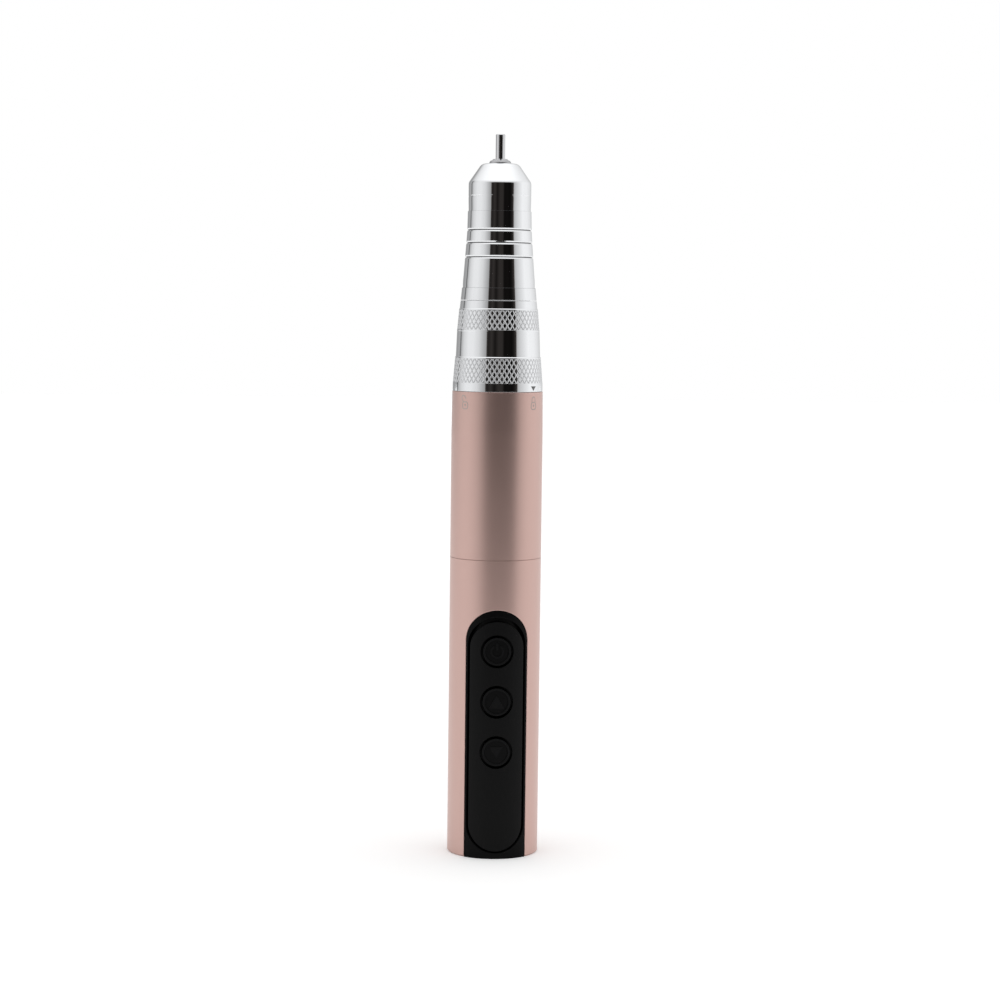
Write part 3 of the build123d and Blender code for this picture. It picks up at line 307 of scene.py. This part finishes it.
def made_object(name, mesh, material, sharp=SHARP):
    """A scene object from a bmesh, smooth except at sharp edges."""
    bmesh.ops.recalc_face_normals(mesh, faces=mesh.faces)
    for face in mesh.faces:
        face.smooth = True
    for edge in mesh.edges:
        edge.smooth = len(edge.link_faces) == 2 and edge.calc_face_angle(0) < sharp
    data = bpy.data.meshes.new(name)
    mesh.to_mesh(data)
    mesh.free()
    data.materials.append(material)
    piece = bpy.data.objects.new(name, data)
    bpy.context.collection.objects.link(piece)
    return piece


def turned(radius, height, angle):
    """The vertex at a radius, a height and an angle about the Z axis."""
    return (radius * MM * cos(angle), radius * MM * sin(angle), height * MM)


def lathe(mesh, outline, segments):
    """Adds a closed outline of (radius, height) turned about the Z axis."""
    rings = []
    for radius, height in outline:
        rings.append([mesh.verts.new(turned(radius, height, tau * i / segments)) for i in range(segments)])
    for lower, upper in zip(rings, rings[1:] + rings[:1]):
        for i in range(segments):
            j = (i + 1) % segments
            mesh.faces.new((lower[i], lower[j], upper[j], upper[i]))


# How far from a rounded corner its outer points lie, in radii of the rounding.
SUPPORT = 1.5


def bend(start, corner, end, steps=12):
    """Points from start to end, round the corner."""
    start, corner, end = Vector(start), Vector(corner), Vector(end)
    shares = [k / steps for k in range(steps + 1)]
    return [tuple(start * (1 - t) ** 2 + corner * 2 * t * (1 - t) + end * t**2) for t in shares]


def rounded(outline, radius, steps=6):
    """The outline with each marked corner rounded. A point is (radius, height) or (radius, height, True).

    Each rounding has one more point on either side, which keeps the faces beside it flat in the shading.
    """
    result = []
    count = len(outline)
    for i, point in enumerate(outline):
        here = Vector(point[:2])
        if len(point) == 2:
            result.append(tuple(here))
            continue
        before = (Vector(outline[i - 1][:2]) - here).normalized()
        after = (Vector(outline[(i + 1) % count][:2]) - here).normalized()
        result.append(tuple(here + before * radius * SUPPORT))
        result += bend(here + before * radius, here, here + after * radius, steps)
        result.append(tuple(here + after * radius * SUPPORT))
    return result


def smooth_radius(points, height):
    """The radius at a height on a smooth curve through (radius, height) points."""
    rises = [(b[0] - a[0]) / (b[1] - a[1]) for a, b in zip(points, points[1:])]
    slopes = [rises[0]] + [(a + b) / 2 for a, b in zip(rises, rises[1:])] + [rises[-1]]
    last = len(points) - 2
    k = next((k for k in range(last) if height < points[k + 1][1]), last)
    (r0, z0), (r1, z1) = points[k], points[k + 1]
    gap = z1 - z0
    t = (height - z0) / gap
    return (
        r0 * (1 + 2 * t) * (1 - t) ** 2
        + slopes[k] * gap * t * (1 - t) ** 2
        + r1 * t**2 * (3 - 2 * t)
        + slopes[k + 1] * gap * t**2 * (t - 1)
    )


# ------------------------------------------------------------------------------------------------
# Nose: turned and polished, with three grooves
# ------------------------------------------------------------------------------------------------

NOSE_SEGMENTS = 360
NOSE_SHARP = radians(11)
NOSE_STEP = 0.15
FOOT = (
    # radius, height
    (9.5, 139.8),
    (9.53, 139.86),
    (9.24, 142.86),
    (9.21, 142.9),
)
WAIST = (
    # radius, height
    (9.03, 142.9),
    (9.03, 143.9),
    (8.99, 144.8),
    (8.9, 145.8),
    (8.43, 152.1),
    (8.11, 156.7),
    (7.97, 161.97),
)
NECK_FOOT = (7.83, 161.98)
NECK = ((7.79, 162.0), (7.80, 163.1), (7.83, 164.4), (7.84, 165.05))
GROOVES = (
    # height, nose radius there
    (150.55, 8.54),
    (154.1, 8.28),
    (157.3, 8.08),
)
GROOVE_HALF = 0.12
GROOVE_BEVEL = 0.1
GROOVE_DEPTH = 0.36
GROOVE_REACH = 0.44
GROOVE_WALL = 0.001
# The waist's own points stay this far from a groove's edge.
GROOVE_CLEAR = 0.02
LEDGE_HALF = 0.03
NECK_POINTS = 21
HEAD_R = 7.84
HEAD_RING_Z = 165.65
HEAD_RING_HALF = 0.4
HEAD_RING_DEPTH = 0.03
HEAD_RING_STEPS = 6
SHOULDER = ((HEAD_R, 168.6), (HEAD_R, 169.138), (7.59, 169.5))
FACE_EDGE = ((5.09, 173.12), (4.55, 173.9), (3.3, 173.9))
NOSE_BORE = (
    (2.95, 173.9),
    (2.95, 169.8),
    (4.6, 169.8),
    (4.6, 167.2),
    (6.02, 167.2),
    (6.02, 150.6),
    (7.15, 150.6),
    (7.15, 139.8),
)


def nose_cone():
    """The polished nose: foot, grooved waist, neck, ringed head and domed front, with its stepped bore."""
    low_z, high_z = WAIST[0][1], WAIST[-1][1]
    steps = round((high_z - low_z) / NOSE_STEP)
    heights = [low_z + (high_z - low_z) * k / steps for k in range(steps + 1)]
    clear = GROOVE_REACH + GROOVE_CLEAR
    plain = [z for z in heights if all(abs(z - groove_z) > clear for groove_z, _ in GROOVES)]
    waist = [(smooth_radius(WAIST, z), z) for z in plain]
    for groove_z, groove_r in GROOVES:
        low, high = groove_z - GROOVE_REACH, groove_z + GROOVE_REACH
        waist += [
            (smooth_radius(WAIST, low), low),
            (groove_r - GROOVE_BEVEL, groove_z - GROOVE_HALF),
            (groove_r - GROOVE_DEPTH, groove_z - GROOVE_HALF + GROOVE_WALL),
            (groove_r - GROOVE_DEPTH, groove_z + GROOVE_HALF - GROOVE_WALL),
            (groove_r - GROOVE_BEVEL, groove_z + GROOVE_HALF),
            (smooth_radius(WAIST, high), high),
        ]
    outer = [*FOOT, *sorted(waist, key=lambda point: point[1]), NECK_FOOT]
    neck_heights = [NECK[0][1] + k * NOSE_STEP for k in range(NECK_POINTS)]
    outer += [(smooth_radius(NECK, z), z) for z in neck_heights]
    for k in range(-HEAD_RING_STEPS, HEAD_RING_STEPS + 1):
        dip = HEAD_RING_DEPTH * (1 + cos(tau * k / (2 * HEAD_RING_STEPS))) / 2
        outer.append((HEAD_R - dip, HEAD_RING_Z + HEAD_RING_HALF * k / HEAD_RING_STEPS))
    outer += bend(*SHOULDER) + bend(*FACE_EDGE)
    mesh = bmesh.new()
    lathe(mesh, [*outer, *NOSE_BORE], NOSE_SEGMENTS)
    # Faces in the grooves and on the ledges take the dark second material: painted shade.
    for face in mesh.faces:
        height = face.calc_center_median().z / MM
        in_groove = any(abs(height - groove_z) < GROOVE_HALF for groove_z, _ in GROOVES)
        on_ledge = any(abs(height - ledge_z) < LEDGE_HALF for ledge_z in (WAIST[0][1], NECK[0][1]))
        face.material_index = int(in_groove or on_ledge)
    nose = made_object("nose_cone_polished", mesh, MATERIALS["polished_steel"], NOSE_SHARP)
    nose.data.materials.append(MATERIALS["groove_metal"])
    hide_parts("nose_cone")
    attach(nose, "casing")


nose_cone()

# ------------------------------------------------------------------------------------------------
# Twist sleeve: turned body with two bands of diamond knurling
# ------------------------------------------------------------------------------------------------

SEGMENTS = 288
SLEEVE_BORE = 8.06
SLEEVE_LOW_Z, SLEEVE_HIGH_Z = 117.15, 139.7
SLEEVE_ROUNDING = 0.05
KNURL_DEPTH = 0.13
KNURL_PITCH = 2.04
KNURL_STEPS = 6
SPARE_ROWS = 2
# The hidden inner wall of a band lies this far in from its top.
BAND_BACK = 3 * KNURL_DEPTH
# The turned body is cut away behind a band, and stands just proud of it on either side.
BAND_SINK = 2 * KNURL_DEPTH
BAND_WALL = 0.01
BAND_LIP = 0.02
BAND_RIM = 0.3
BANDS = (
    # low z, high z, radius at low z, radius at high z, diamonds round the sleeve
    (119.3, 125.3, 11.26, 10.78, 57),
    (132.5, 137.3, 10.32, 9.90, 51),
)


def knurl_band(mesh, low, high, low_radius, high_radius, count):
    """Adds one closed band of diamonds between two heights.

    Lines i and j run diagonally, up to the right and up to the left. One in KNURL_STEPS is a groove's
    bottom, and the rest lie on the flat top of a diamond. Spare rows at both ends are cut off.
    """
    band = bmesh.new()
    around = 2 * KNURL_STEPS * count
    rise = KNURL_PITCH / (2 * KNURL_STEPS)
    made = {}

    def vertex(i, j):
        key = ((i + j) % around, i - j)
        if key not in made:
            height = low + (i - j) * rise
            radius = low_radius + (high_radius - low_radius) * (height - low) / (high - low)
            if i % KNURL_STEPS == 0 or j % KNURL_STEPS == 0:
                radius -= KNURL_DEPTH
            made[key] = band.verts.new(turned(radius, height, tau * (i + j) / around))
        return made[key]

    ends = (0, KNURL_STEPS - 1)
    rows = int((high - low) / rise) + SPARE_ROWS + 1
    for total in range(around):
        for difference in range(-SPARE_ROWS, rows):
            if (total + difference) % 2:
                continue
            i, j = (total + difference) // 2, (total - difference) // 2
            a, b, c, d = vertex(i, j), vertex(i + 1, j), vertex(i + 1, j + 1), vertex(i, j + 1)
            walls = (i % KNURL_STEPS in ends, j % KNURL_STEPS in ends)
            if not all(walls):
                added = [band.faces.new((a, b, c, d))]
            elif i % KNURL_STEPS == j % KNURL_STEPS:
                added = [band.faces.new((a, b, c)), band.faces.new((a, c, d))]
            else:
                added = [band.faces.new((a, b, d)), band.faces.new((b, c, d))]
            # Groove walls take the second material, darker chrome: painted shade.
            for face in added:
                face.material_index = int(any(walls))
    for plane_z, outward in ((low, -1), (high, 1)):
        bmesh.ops.bisect_plane(
            band,
            geom=band.verts[:] + band.edges[:] + band.faces[:],
            plane_co=(0, 0, plane_z * MM),
            plane_no=(0, 0, outward),
            clear_outer=True,
        )
    inner = []
    for plane_z in (low, high):
        open_edges = [edge for edge in band.edges if len(edge.link_faces) == 1]
        rim = [
            edge for edge in open_edges if all(abs(end.co.z - plane_z * MM) < MICRON for end in edge.verts)
        ]
        grown = bmesh.ops.extrude_edge_only(band, edges=rim)["geom"]
        for item in grown:
            if isinstance(item, bmesh.types.BMVert):
                item.co.xy = item.co.xy.normalized() * (high_radius - BAND_BACK) * MM
        edges = [item for item in grown if isinstance(item, bmesh.types.BMEdge)]
        inner += [edge for edge in edges if len(edge.link_faces) == 1]
    bmesh.ops.bridge_loops(band, edges=inner)
    data = bpy.data.meshes.new("band")
    band.to_mesh(data)
    band.free()
    mesh.from_mesh(data)
    bpy.data.meshes.remove(data)


def twist_sleeve():
    """The turned sleeve, cut away where its two knurled bands lie, and the bands."""
    (low_a, high_a, r_a0, r_a1, _), (low_b, high_b, r_b0, r_b1, _) = BANDS
    outline = rounded(
        [
            (SLEEVE_BORE, SLEEVE_LOW_Z),
            (11.31, SLEEVE_LOW_Z, True),
            (11.30, 118.8, True),
            (r_a0 + BAND_LIP, low_a, True),
            (r_a0 - BAND_SINK, low_a + BAND_WALL),
            (r_a1 - BAND_SINK, high_a - BAND_WALL),
            (r_a1 + BAND_LIP, high_a, True),
            (r_a1 - 0.01, high_a + BAND_RIM, True),
            (10.60, high_a + BAND_RIM + 0.16, True),
            (10.36, low_b - BAND_RIM - 0.16, True),
            (r_b0 + 0.05, low_b - BAND_RIM, True),
            (r_b0 + BAND_LIP, low_b, True),
            (r_b0 - BAND_SINK, low_b + BAND_WALL),
            (r_b1 - BAND_SINK, high_b - BAND_WALL),
            (r_b1 + BAND_LIP, high_b, True),
            (r_b1 - 0.02, high_b + BAND_RIM, True),
            (9.74, high_b + BAND_RIM + 0.14, True),
            (9.54, SLEEVE_HIGH_Z, True),
            (SLEEVE_BORE, SLEEVE_HIGH_Z),
        ],
        SLEEVE_ROUNDING,
    )
    mesh = bmesh.new()
    lathe(mesh, outline, SEGMENTS)
    for band in BANDS:
        knurl_band(mesh, *band)
    sleeve = made_object("twist_sleeve_knurled", mesh, MATERIALS["polished_steel"])
    sleeve.data.materials.append(MATERIALS["knurl_groove"])
    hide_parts("twist_sleeve")
    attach(sleeve, "twist")


twist_sleeve()

# ------------------------------------------------------------------------------------------------
# Collet spring: a coil round the spindle, drawn at one length; the real coil shortens as the sleeve opens
# the collet
# ------------------------------------------------------------------------------------------------

COIL_R = 3.9
COIL_WIRE = 0.35
COIL_TURNS = 7
COIL_STEPS = 36
COIL_SIDES = 12
COIL_LOW_Z, COIL_HIGH_Z = 139.6, 151.6


def collet_spring():
    """A round wire wound up the spindle, at one length; the real spring is squashed towards its seat as
    the collet rises.
    """
    steps = COIL_STEPS * COIL_TURNS
    angles = [tau * k / COIL_SIDES for k in range(COIL_SIDES)]
    rise = (COIL_HIGH_Z - COIL_LOW_Z) / (tau * COIL_TURNS)
    mesh = bmesh.new()
    rings = []
    for i in range(steps + 1):
        turn = tau * COIL_TURNS * i / steps
        outward = Vector((cos(turn), sin(turn), 0))
        along = Vector((-COIL_R * sin(turn), COIL_R * cos(turn), rise)).normalized()
        across = along.cross(outward)
        centre = outward * COIL_R + Vector((0, 0, COIL_LOW_Z + rise * turn))
        around = [outward * cos(angle) + across * sin(angle) for angle in angles]
        rings.append([mesh.verts.new((centre + direction * COIL_WIRE) * MM) for direction in around])
    for here, ahead in zip(rings, rings[1:]):
        for k in range(COIL_SIDES):
            j = (k + 1) % COIL_SIDES
            mesh.faces.new((here[k], here[j], ahead[j], ahead[k]))
    mesh.faces.new(rings[0])
    mesh.faces.new(rings[-1][::-1])
    spring = made_object("collet_spring_coil", mesh, MATERIALS["spring_steel"])
    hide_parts("collet_spring")
    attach(spring, "spindle")
    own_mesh(spring)


collet_spring()

# ------------------------------------------------------------------------------------------------
# Etched marks: padlocks on the upper tube, and the arrow on the sleeve that points to them
# ------------------------------------------------------------------------------------------------

MARK_ANGLE = radians(48.5)
MARK_LOW_Z = 112.7
MARK_LINE = 0.2
MARK_SINK = 0.03
MARK_STAND = 0.008
TUBE_R = 11.5
TAPER_LOW_Z, TAPER_HIGH_Z, TAPER_TOP_R = 107.0, 117.05, 11.38
ARROW_R = 11.3
ARROW_LOW_Z = 117.42
ARROW_HALF = 1.0
ARROW_HEIGHT = 1.15
ARROW_STEPS = 8
# The tip's width, as a share of the arrow's, which keeps its faces from closing up.
ARROW_TIP = 0.01
LOCK_HALF = 0.92
LOCK_LOW, LOCK_HIGH = 0.1, 1.85
LOCK_CORNER = 0.6
LOCK_CORNER_STEPS = 4
BOW_R = 0.62
BOW_RISE = 0.75
KEYHOLE_Z, KEYHOLE_R = 1.05, 0.16
KEYHOLE_STEPS = 11
OPEN_SHACKLE = 38


def tube_radius(height):
    share = max(0.0, (height - TAPER_LOW_Z) / (TAPER_HIGH_Z - TAPER_LOW_Z))
    return TUBE_R + (TAPER_TOP_R - TUBE_R) * share


def on_drill(across, height, angle, radius):
    """A point of a flat mark laid round the drill: angle is from -Y towards +X."""
    turn = angle + across / TUBE_R
    return (radius * MM * sin(turn), -radius * MM * cos(turn), height * MM)


def etched_line(mesh, path, angle, closed):
    """Adds a flat line of even width along a path of (across, height) points on the upper tube."""
    count = len(path)
    sides = []
    for i, point in enumerate(path):
        here = Vector(point)
        back = Vector(path[i - 1]) if closed or i else here
        ahead = Vector(path[(i + 1) % count]) if closed or i < count - 1 else here
        along = (ahead - back).normalized()
        left = Vector((-along.y, along.x)) * MARK_LINE / 2
        corners = []
        for flat in (here + left, here - left):
            surface = tube_radius(flat.y)
            for radius in (surface - MARK_SINK, surface + MARK_STAND):
                corners.append(mesh.verts.new(on_drill(flat.x, flat.y, angle, radius)))
        sides.append((corners[0], corners[1], corners[3], corners[2]))
    for i in range(count if closed else count - 1):
        here, ahead = sides[i], sides[(i + 1) % count]
        for k in range(4):
            mesh.faces.new((here[k], here[(k + 1) % 4], ahead[(k + 1) % 4], ahead[k]))
    if not closed:
        mesh.faces.new(sides[0])
        mesh.faces.new(sides[-1][::-1])


def arc_path(centre, radius, first, last, steps=16):
    """Points round part of a circle, in degrees."""
    turns = [radians(first + (last - first) * k / steps) for k in range(steps + 1)]
    return [(centre[0] + radius * cos(t), centre[1] + radius * sin(t)) for t in turns]


def padlock(name, angle, shackle_turn):
    """A padlock in outline. shackle_turn swings the shackle open about its left leg, in degrees."""
    side = LOCK_HALF - LOCK_CORNER
    bottom, top = LOCK_LOW + LOCK_CORNER, LOCK_HIGH - LOCK_CORNER
    body = []
    centres = ((side, bottom), (side, top), (-side, top), (-side, bottom))
    for centre, first in zip(centres, (-90, 0, 90, 180)):
        body += arc_path(centre, LOCK_CORNER, first, first + 90, LOCK_CORNER_STEPS)
    bow = arc_path((0, LOCK_HIGH + BOW_RISE), BOW_R, 0, 180)
    shackle = [(BOW_R, LOCK_HIGH), *bow, (-BOW_R, LOCK_HIGH)]
    swing = Matrix.Rotation(radians(shackle_turn), 2)
    pivot = Vector((-BOW_R, LOCK_HIGH))
    shackle = [tuple(pivot + swing @ (Vector(point) - pivot)) for point in shackle]
    keyhole = arc_path((0, KEYHOLE_Z), KEYHOLE_R, 0, 345, KEYHOLE_STEPS)
    mesh = bmesh.new()
    for path, closed in ((body, True), (shackle, False), (keyhole, True)):
        etched_line(mesh, [(x, z + MARK_LOW_Z) for x, z in path], angle, closed)
    mark = made_object(name, mesh, MATERIALS["etched_mark"])
    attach(mark, "casing")


def sleeve_arrow():
    """A small solid triangle on the sleeve's lowest ring, pointing down at the closed padlock."""
    mesh = bmesh.new()
    layers = []
    for radius in (ARROW_R - MARK_SINK, ARROW_R + MARK_STAND):
        layer = []
        for row in range(ARROW_STEPS + 1):
            half = ARROW_HALF * max(row / ARROW_STEPS, ARROW_TIP)
            z = ARROW_LOW_Z + ARROW_HEIGHT * row / ARROW_STEPS
            across = [half * (2 * k / ARROW_STEPS - 1) for k in range(ARROW_STEPS + 1)]
            layer.append([mesh.verts.new(on_drill(x, z, MARK_ANGLE, radius)) for x in across])
        layers.append(layer)
    for layer in layers:
        for low, high in zip(layer, layer[1:]):
            for k in range(ARROW_STEPS):
                mesh.faces.new((low[k], low[k + 1], high[k + 1], high[k]))
    inner, outer = [
        layer[0] + [row[-1] for row in layer[1:]] + layer[-1][-2::-1] + [row[0] for row in layer[-2:0:-1]]
        for layer in layers
    ]
    for k in range(len(inner)):
        j = (k + 1) % len(inner)
        mesh.faces.new((inner[k], inner[j], outer[j], outer[k]))
    arrow = made_object("sleeve_arrow", mesh, MATERIALS["dark_mark"])
    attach(arrow, "twist")


padlock("padlock_closed", MARK_ANGLE, 0)
padlock("padlock_open", -MARK_ANGLE, OPEN_SHACKLE)
sleeve_arrow()

# ------------------------------------------------------------------------------------------------
# Floor, light and camera
# ------------------------------------------------------------------------------------------------

# Light round the drill. Directions are from -Y towards +X. Heights are the sine of the elevation. The dark
# part is the unlit side of the room, where the camera stands, and it is narrower below and at its top.
DARK_HALF = radians(42)
DARK_MIDDLE = radians(6.5)
DARK_EDGE = radians(1.5)
DARK_TOP = 0.36
DARK_TOP_EDGE = 0.04
DARK_ARCH = 0.09
ARCH_NARROWER = 0.25
BELOW_START, BELOW_END = 0.05, 0.3
BELOW_NARROWER = 0.3
SIDE_TOP = 0.30
SIDE_FADE = 0.35
SKY_START, SKY_END = 0.55, 0.95
SKY_LEVEL = 1.0
ZENITH_LEVEL = 1.3
WARM = (1.0, 0.88, 0.82)
# Brightness round the horizon, and in the dark part: degrees, level.
HORIZON = (
    (-180, 0.58),
    (-160, 0.35),
    (-136, 0.47),
    (-130, 0.09),
    (-124, 0.54),
    (-112, 0.80),
    (-94, 0.98),
    (-76, 0.98),
    (-58, 0.82),
    (-42, 0.50),
    (-34, 0.36),
    (48, 0.50),
    (58, 0.72),
    (70, 0.88),
    (88, 1.10),
    (112, 1.06),
    (135, 0.90),
    (155, 0.72),
    (172, 0.60),
    (180, 0.58),
)
STREAKS = (
    (-34, 0.034),
    (-30, 0.020),
    (-22, 0.038),
    (-12, 0.010),
    (-2, 0.034),
    (8, 0.032),
    (13, 0.006),
    (24, 0.007),
    (34, 0.005),
    (40, 0.012),
    (48, 0.050),
)

FLOOR_FRONT = 0.38
FLOOR_REACH = 3.0
FLOOR_Z = -20 * MICRON
FLOOR_GLOW = 0.08
FLOOR_SHADES = (0.96, 0.97)

LENS_MM = 90
SENSOR_MM = 36
CAMERA_AZIMUTH = radians(-3.7)
CAMERA_DISTANCE = 0.6299
CAMERA_HEIGHT = 0.1391
CAMERA_YAW, CAMERA_PITCH, CAMERA_ROLL = radians(0.087), radians(4.5), radians(0.7)


def studio_world():
    """A white room, softer at its sides, with its dark side where the camera stands."""
    world = bpy.data.worlds.new("studio")
    world.use_nodes = True
    bpy.context.scene.world = world
    tree = world.node_tree
    tree.nodes.clear()

    def node(kind, **settings):
        made = tree.nodes.new(kind)
        for name, value in settings.items():
            setattr(made, name, value)
        return made

    def plug(value, socket):
        if isinstance(value, (int, float)):
            socket.default_value = value
        else:
            tree.links.new(value, socket)

    def math(operation, first, second=0.0):
        made = node("ShaderNodeMath", operation=operation)
        plug(first, made.inputs[0])
        plug(second, made.inputs[1])
        return made.outputs[0]

    def step(value, low, high):
        """0 below low, 1 above high, smooth between."""
        made = node("ShaderNodeMapRange", interpolation_type="SMOOTHSTEP")
        made.inputs["From Min"].default_value = low
        made.inputs["From Max"].default_value = high
        plug(value, made.inputs["Value"])
        return made.outputs["Result"]

    def blend(share, first, second):
        """first where share is 0 and second where it is 1."""
        made = node("ShaderNodeMix", data_type="FLOAT")
        plug(share, made.inputs[0])
        plug(first, made.inputs[2])
        plug(second, made.inputs[3])
        return made.outputs[0]

    def round_ramp(stops):
        """The level round the drill, from (degrees, level) stops."""
        ramp = node("ShaderNodeValToRGB")
        elements = ramp.color_ramp.elements
        elements.remove(elements[-1])
        for i, (degrees_round, level) in enumerate(stops):
            place = degrees_round / 360 + 0.5
            element = elements[0] if i == 0 else elements.new(place)
            element.position = place
            element.color = (level, level, level, 1)
        tree.links.new(turn, ramp.inputs["Fac"])
        return ramp.outputs["Color"]

    parts = node("ShaderNodeSeparateXYZ")
    tree.links.new(node("ShaderNodeTexCoord").outputs["Generated"], parts.inputs[0])
    x, y, z = parts.outputs
    azimuth = math("ARCTAN2", x, math("MULTIPLY", y, -1.0))
    turn = math("ADD", math("DIVIDE", azimuth, tau), 0.5)
    side = round_ramp(HORIZON)
    streaks = round_ramp(STREAKS)
    depth = math("MULTIPLY", z, -1.0)
    below = math("MULTIPLY", step(depth, BELOW_START, BELOW_END), DARK_HALF * BELOW_NARROWER)
    above = math("MULTIPLY", step(z, DARK_TOP - DARK_ARCH, DARK_TOP), DARK_HALF * ARCH_NARROWER)
    narrowing = math("ADD", below, above)
    offset = math("ADD", math("ABSOLUTE", math("SUBTRACT", azimuth, DARK_MIDDLE)), narrowing)
    in_dark = math("SUBTRACT", 1.0, step(offset, DARK_HALF - DARK_EDGE, DARK_HALF + DARK_EDGE))
    dark_low = math("SUBTRACT", 1.0, step(z, DARK_TOP - DARK_TOP_EDGE, DARK_TOP + DARK_TOP_EDGE))
    dark = math("MULTIPLY", in_dark, dark_low)
    sky = blend(step(z, SKY_START, SKY_END), SKY_LEVEL, ZENITH_LEVEL)
    lit = blend(step(z, SIDE_TOP, SIDE_TOP + SIDE_FADE), side, sky)
    level = blend(dark, lit, streaks)
    from_camera = node("ShaderNodeLightPath").outputs["Is Camera Ray"]
    seen = blend(from_camera, level, 1.0)
    tint = node("ShaderNodeMix", data_type="RGBA")
    plug(blend(from_camera, dark, 0.0), tint.inputs["Factor"])
    tint.inputs["A"].default_value = (1, 1, 1, 1)
    tint.inputs["B"].default_value = (*WARM, 1)
    background = node("ShaderNodeBackground")
    tree.links.new(tint.outputs["Result"], background.inputs["Color"])
    tree.links.new(seen, background.inputs["Strength"])
    output = node("ShaderNodeOutputWorld")
    tree.links.new(background.outputs[0], output.inputs["Surface"])


def floor():
    """A plain white table top that ends just in front of the camera."""
    mesh = bmesh.new()
    corners = [
        (-FLOOR_REACH, -FLOOR_FRONT),
        (FLOOR_REACH, -FLOOR_FRONT),
        (FLOOR_REACH, FLOOR_REACH),
        (-FLOOR_REACH, FLOOR_REACH),
    ]
    mesh.faces.new([mesh.verts.new((x, y, FLOOR_Z)) for x, y in corners])
    shader = Shader("floor_white", Roughness=0.9)
    shader.surface.inputs["Specular IOR Level"].default_value = 0.1
    shader.surface.inputs["Emission Color"].default_value = (1, 1, 1, 1)
    shader.surface.inputs["Emission Strength"].default_value = FLOOR_GLOW
    cloud = shader.noise(shader.position, 3.0)
    shader.colours(cloud, *((level,) * 3 for level in FLOOR_SHADES))
    made_object("floor", mesh, shader.material)


def camera():
    """A long lens 630 mm away, a little left of the panel, level with the sleeve's top."""
    data = bpy.data.cameras.new("camera")
    data.lens = LENS_MM
    data.sensor_width = SENSOR_MM
    data.clip_start = 0.01
    data.clip_end = 100
    made = bpy.data.objects.new("camera", data)
    across, back = CAMERA_DISTANCE * sin(CAMERA_AZIMUTH), -CAMERA_DISTANCE * cos(CAMERA_AZIMUTH)
    place = Matrix.Translation((across, back, CAMERA_HEIGHT))
    turn = (
        Matrix.Rotation(CAMERA_AZIMUTH - CAMERA_YAW, 4, "Z")
        @ Matrix.Rotation(radians(90) - CAMERA_PITCH, 4, "X")
        @ Matrix.Rotation(CAMERA_ROLL, 4, "Z")
    )
    made.matrix_world = place @ turn
    bpy.context.collection.objects.link(made)
    bpy.context.scene.camera = made


studio_world()
floor()
camera()
bpy.context.scene.view_settings.view_transform = "Standard"
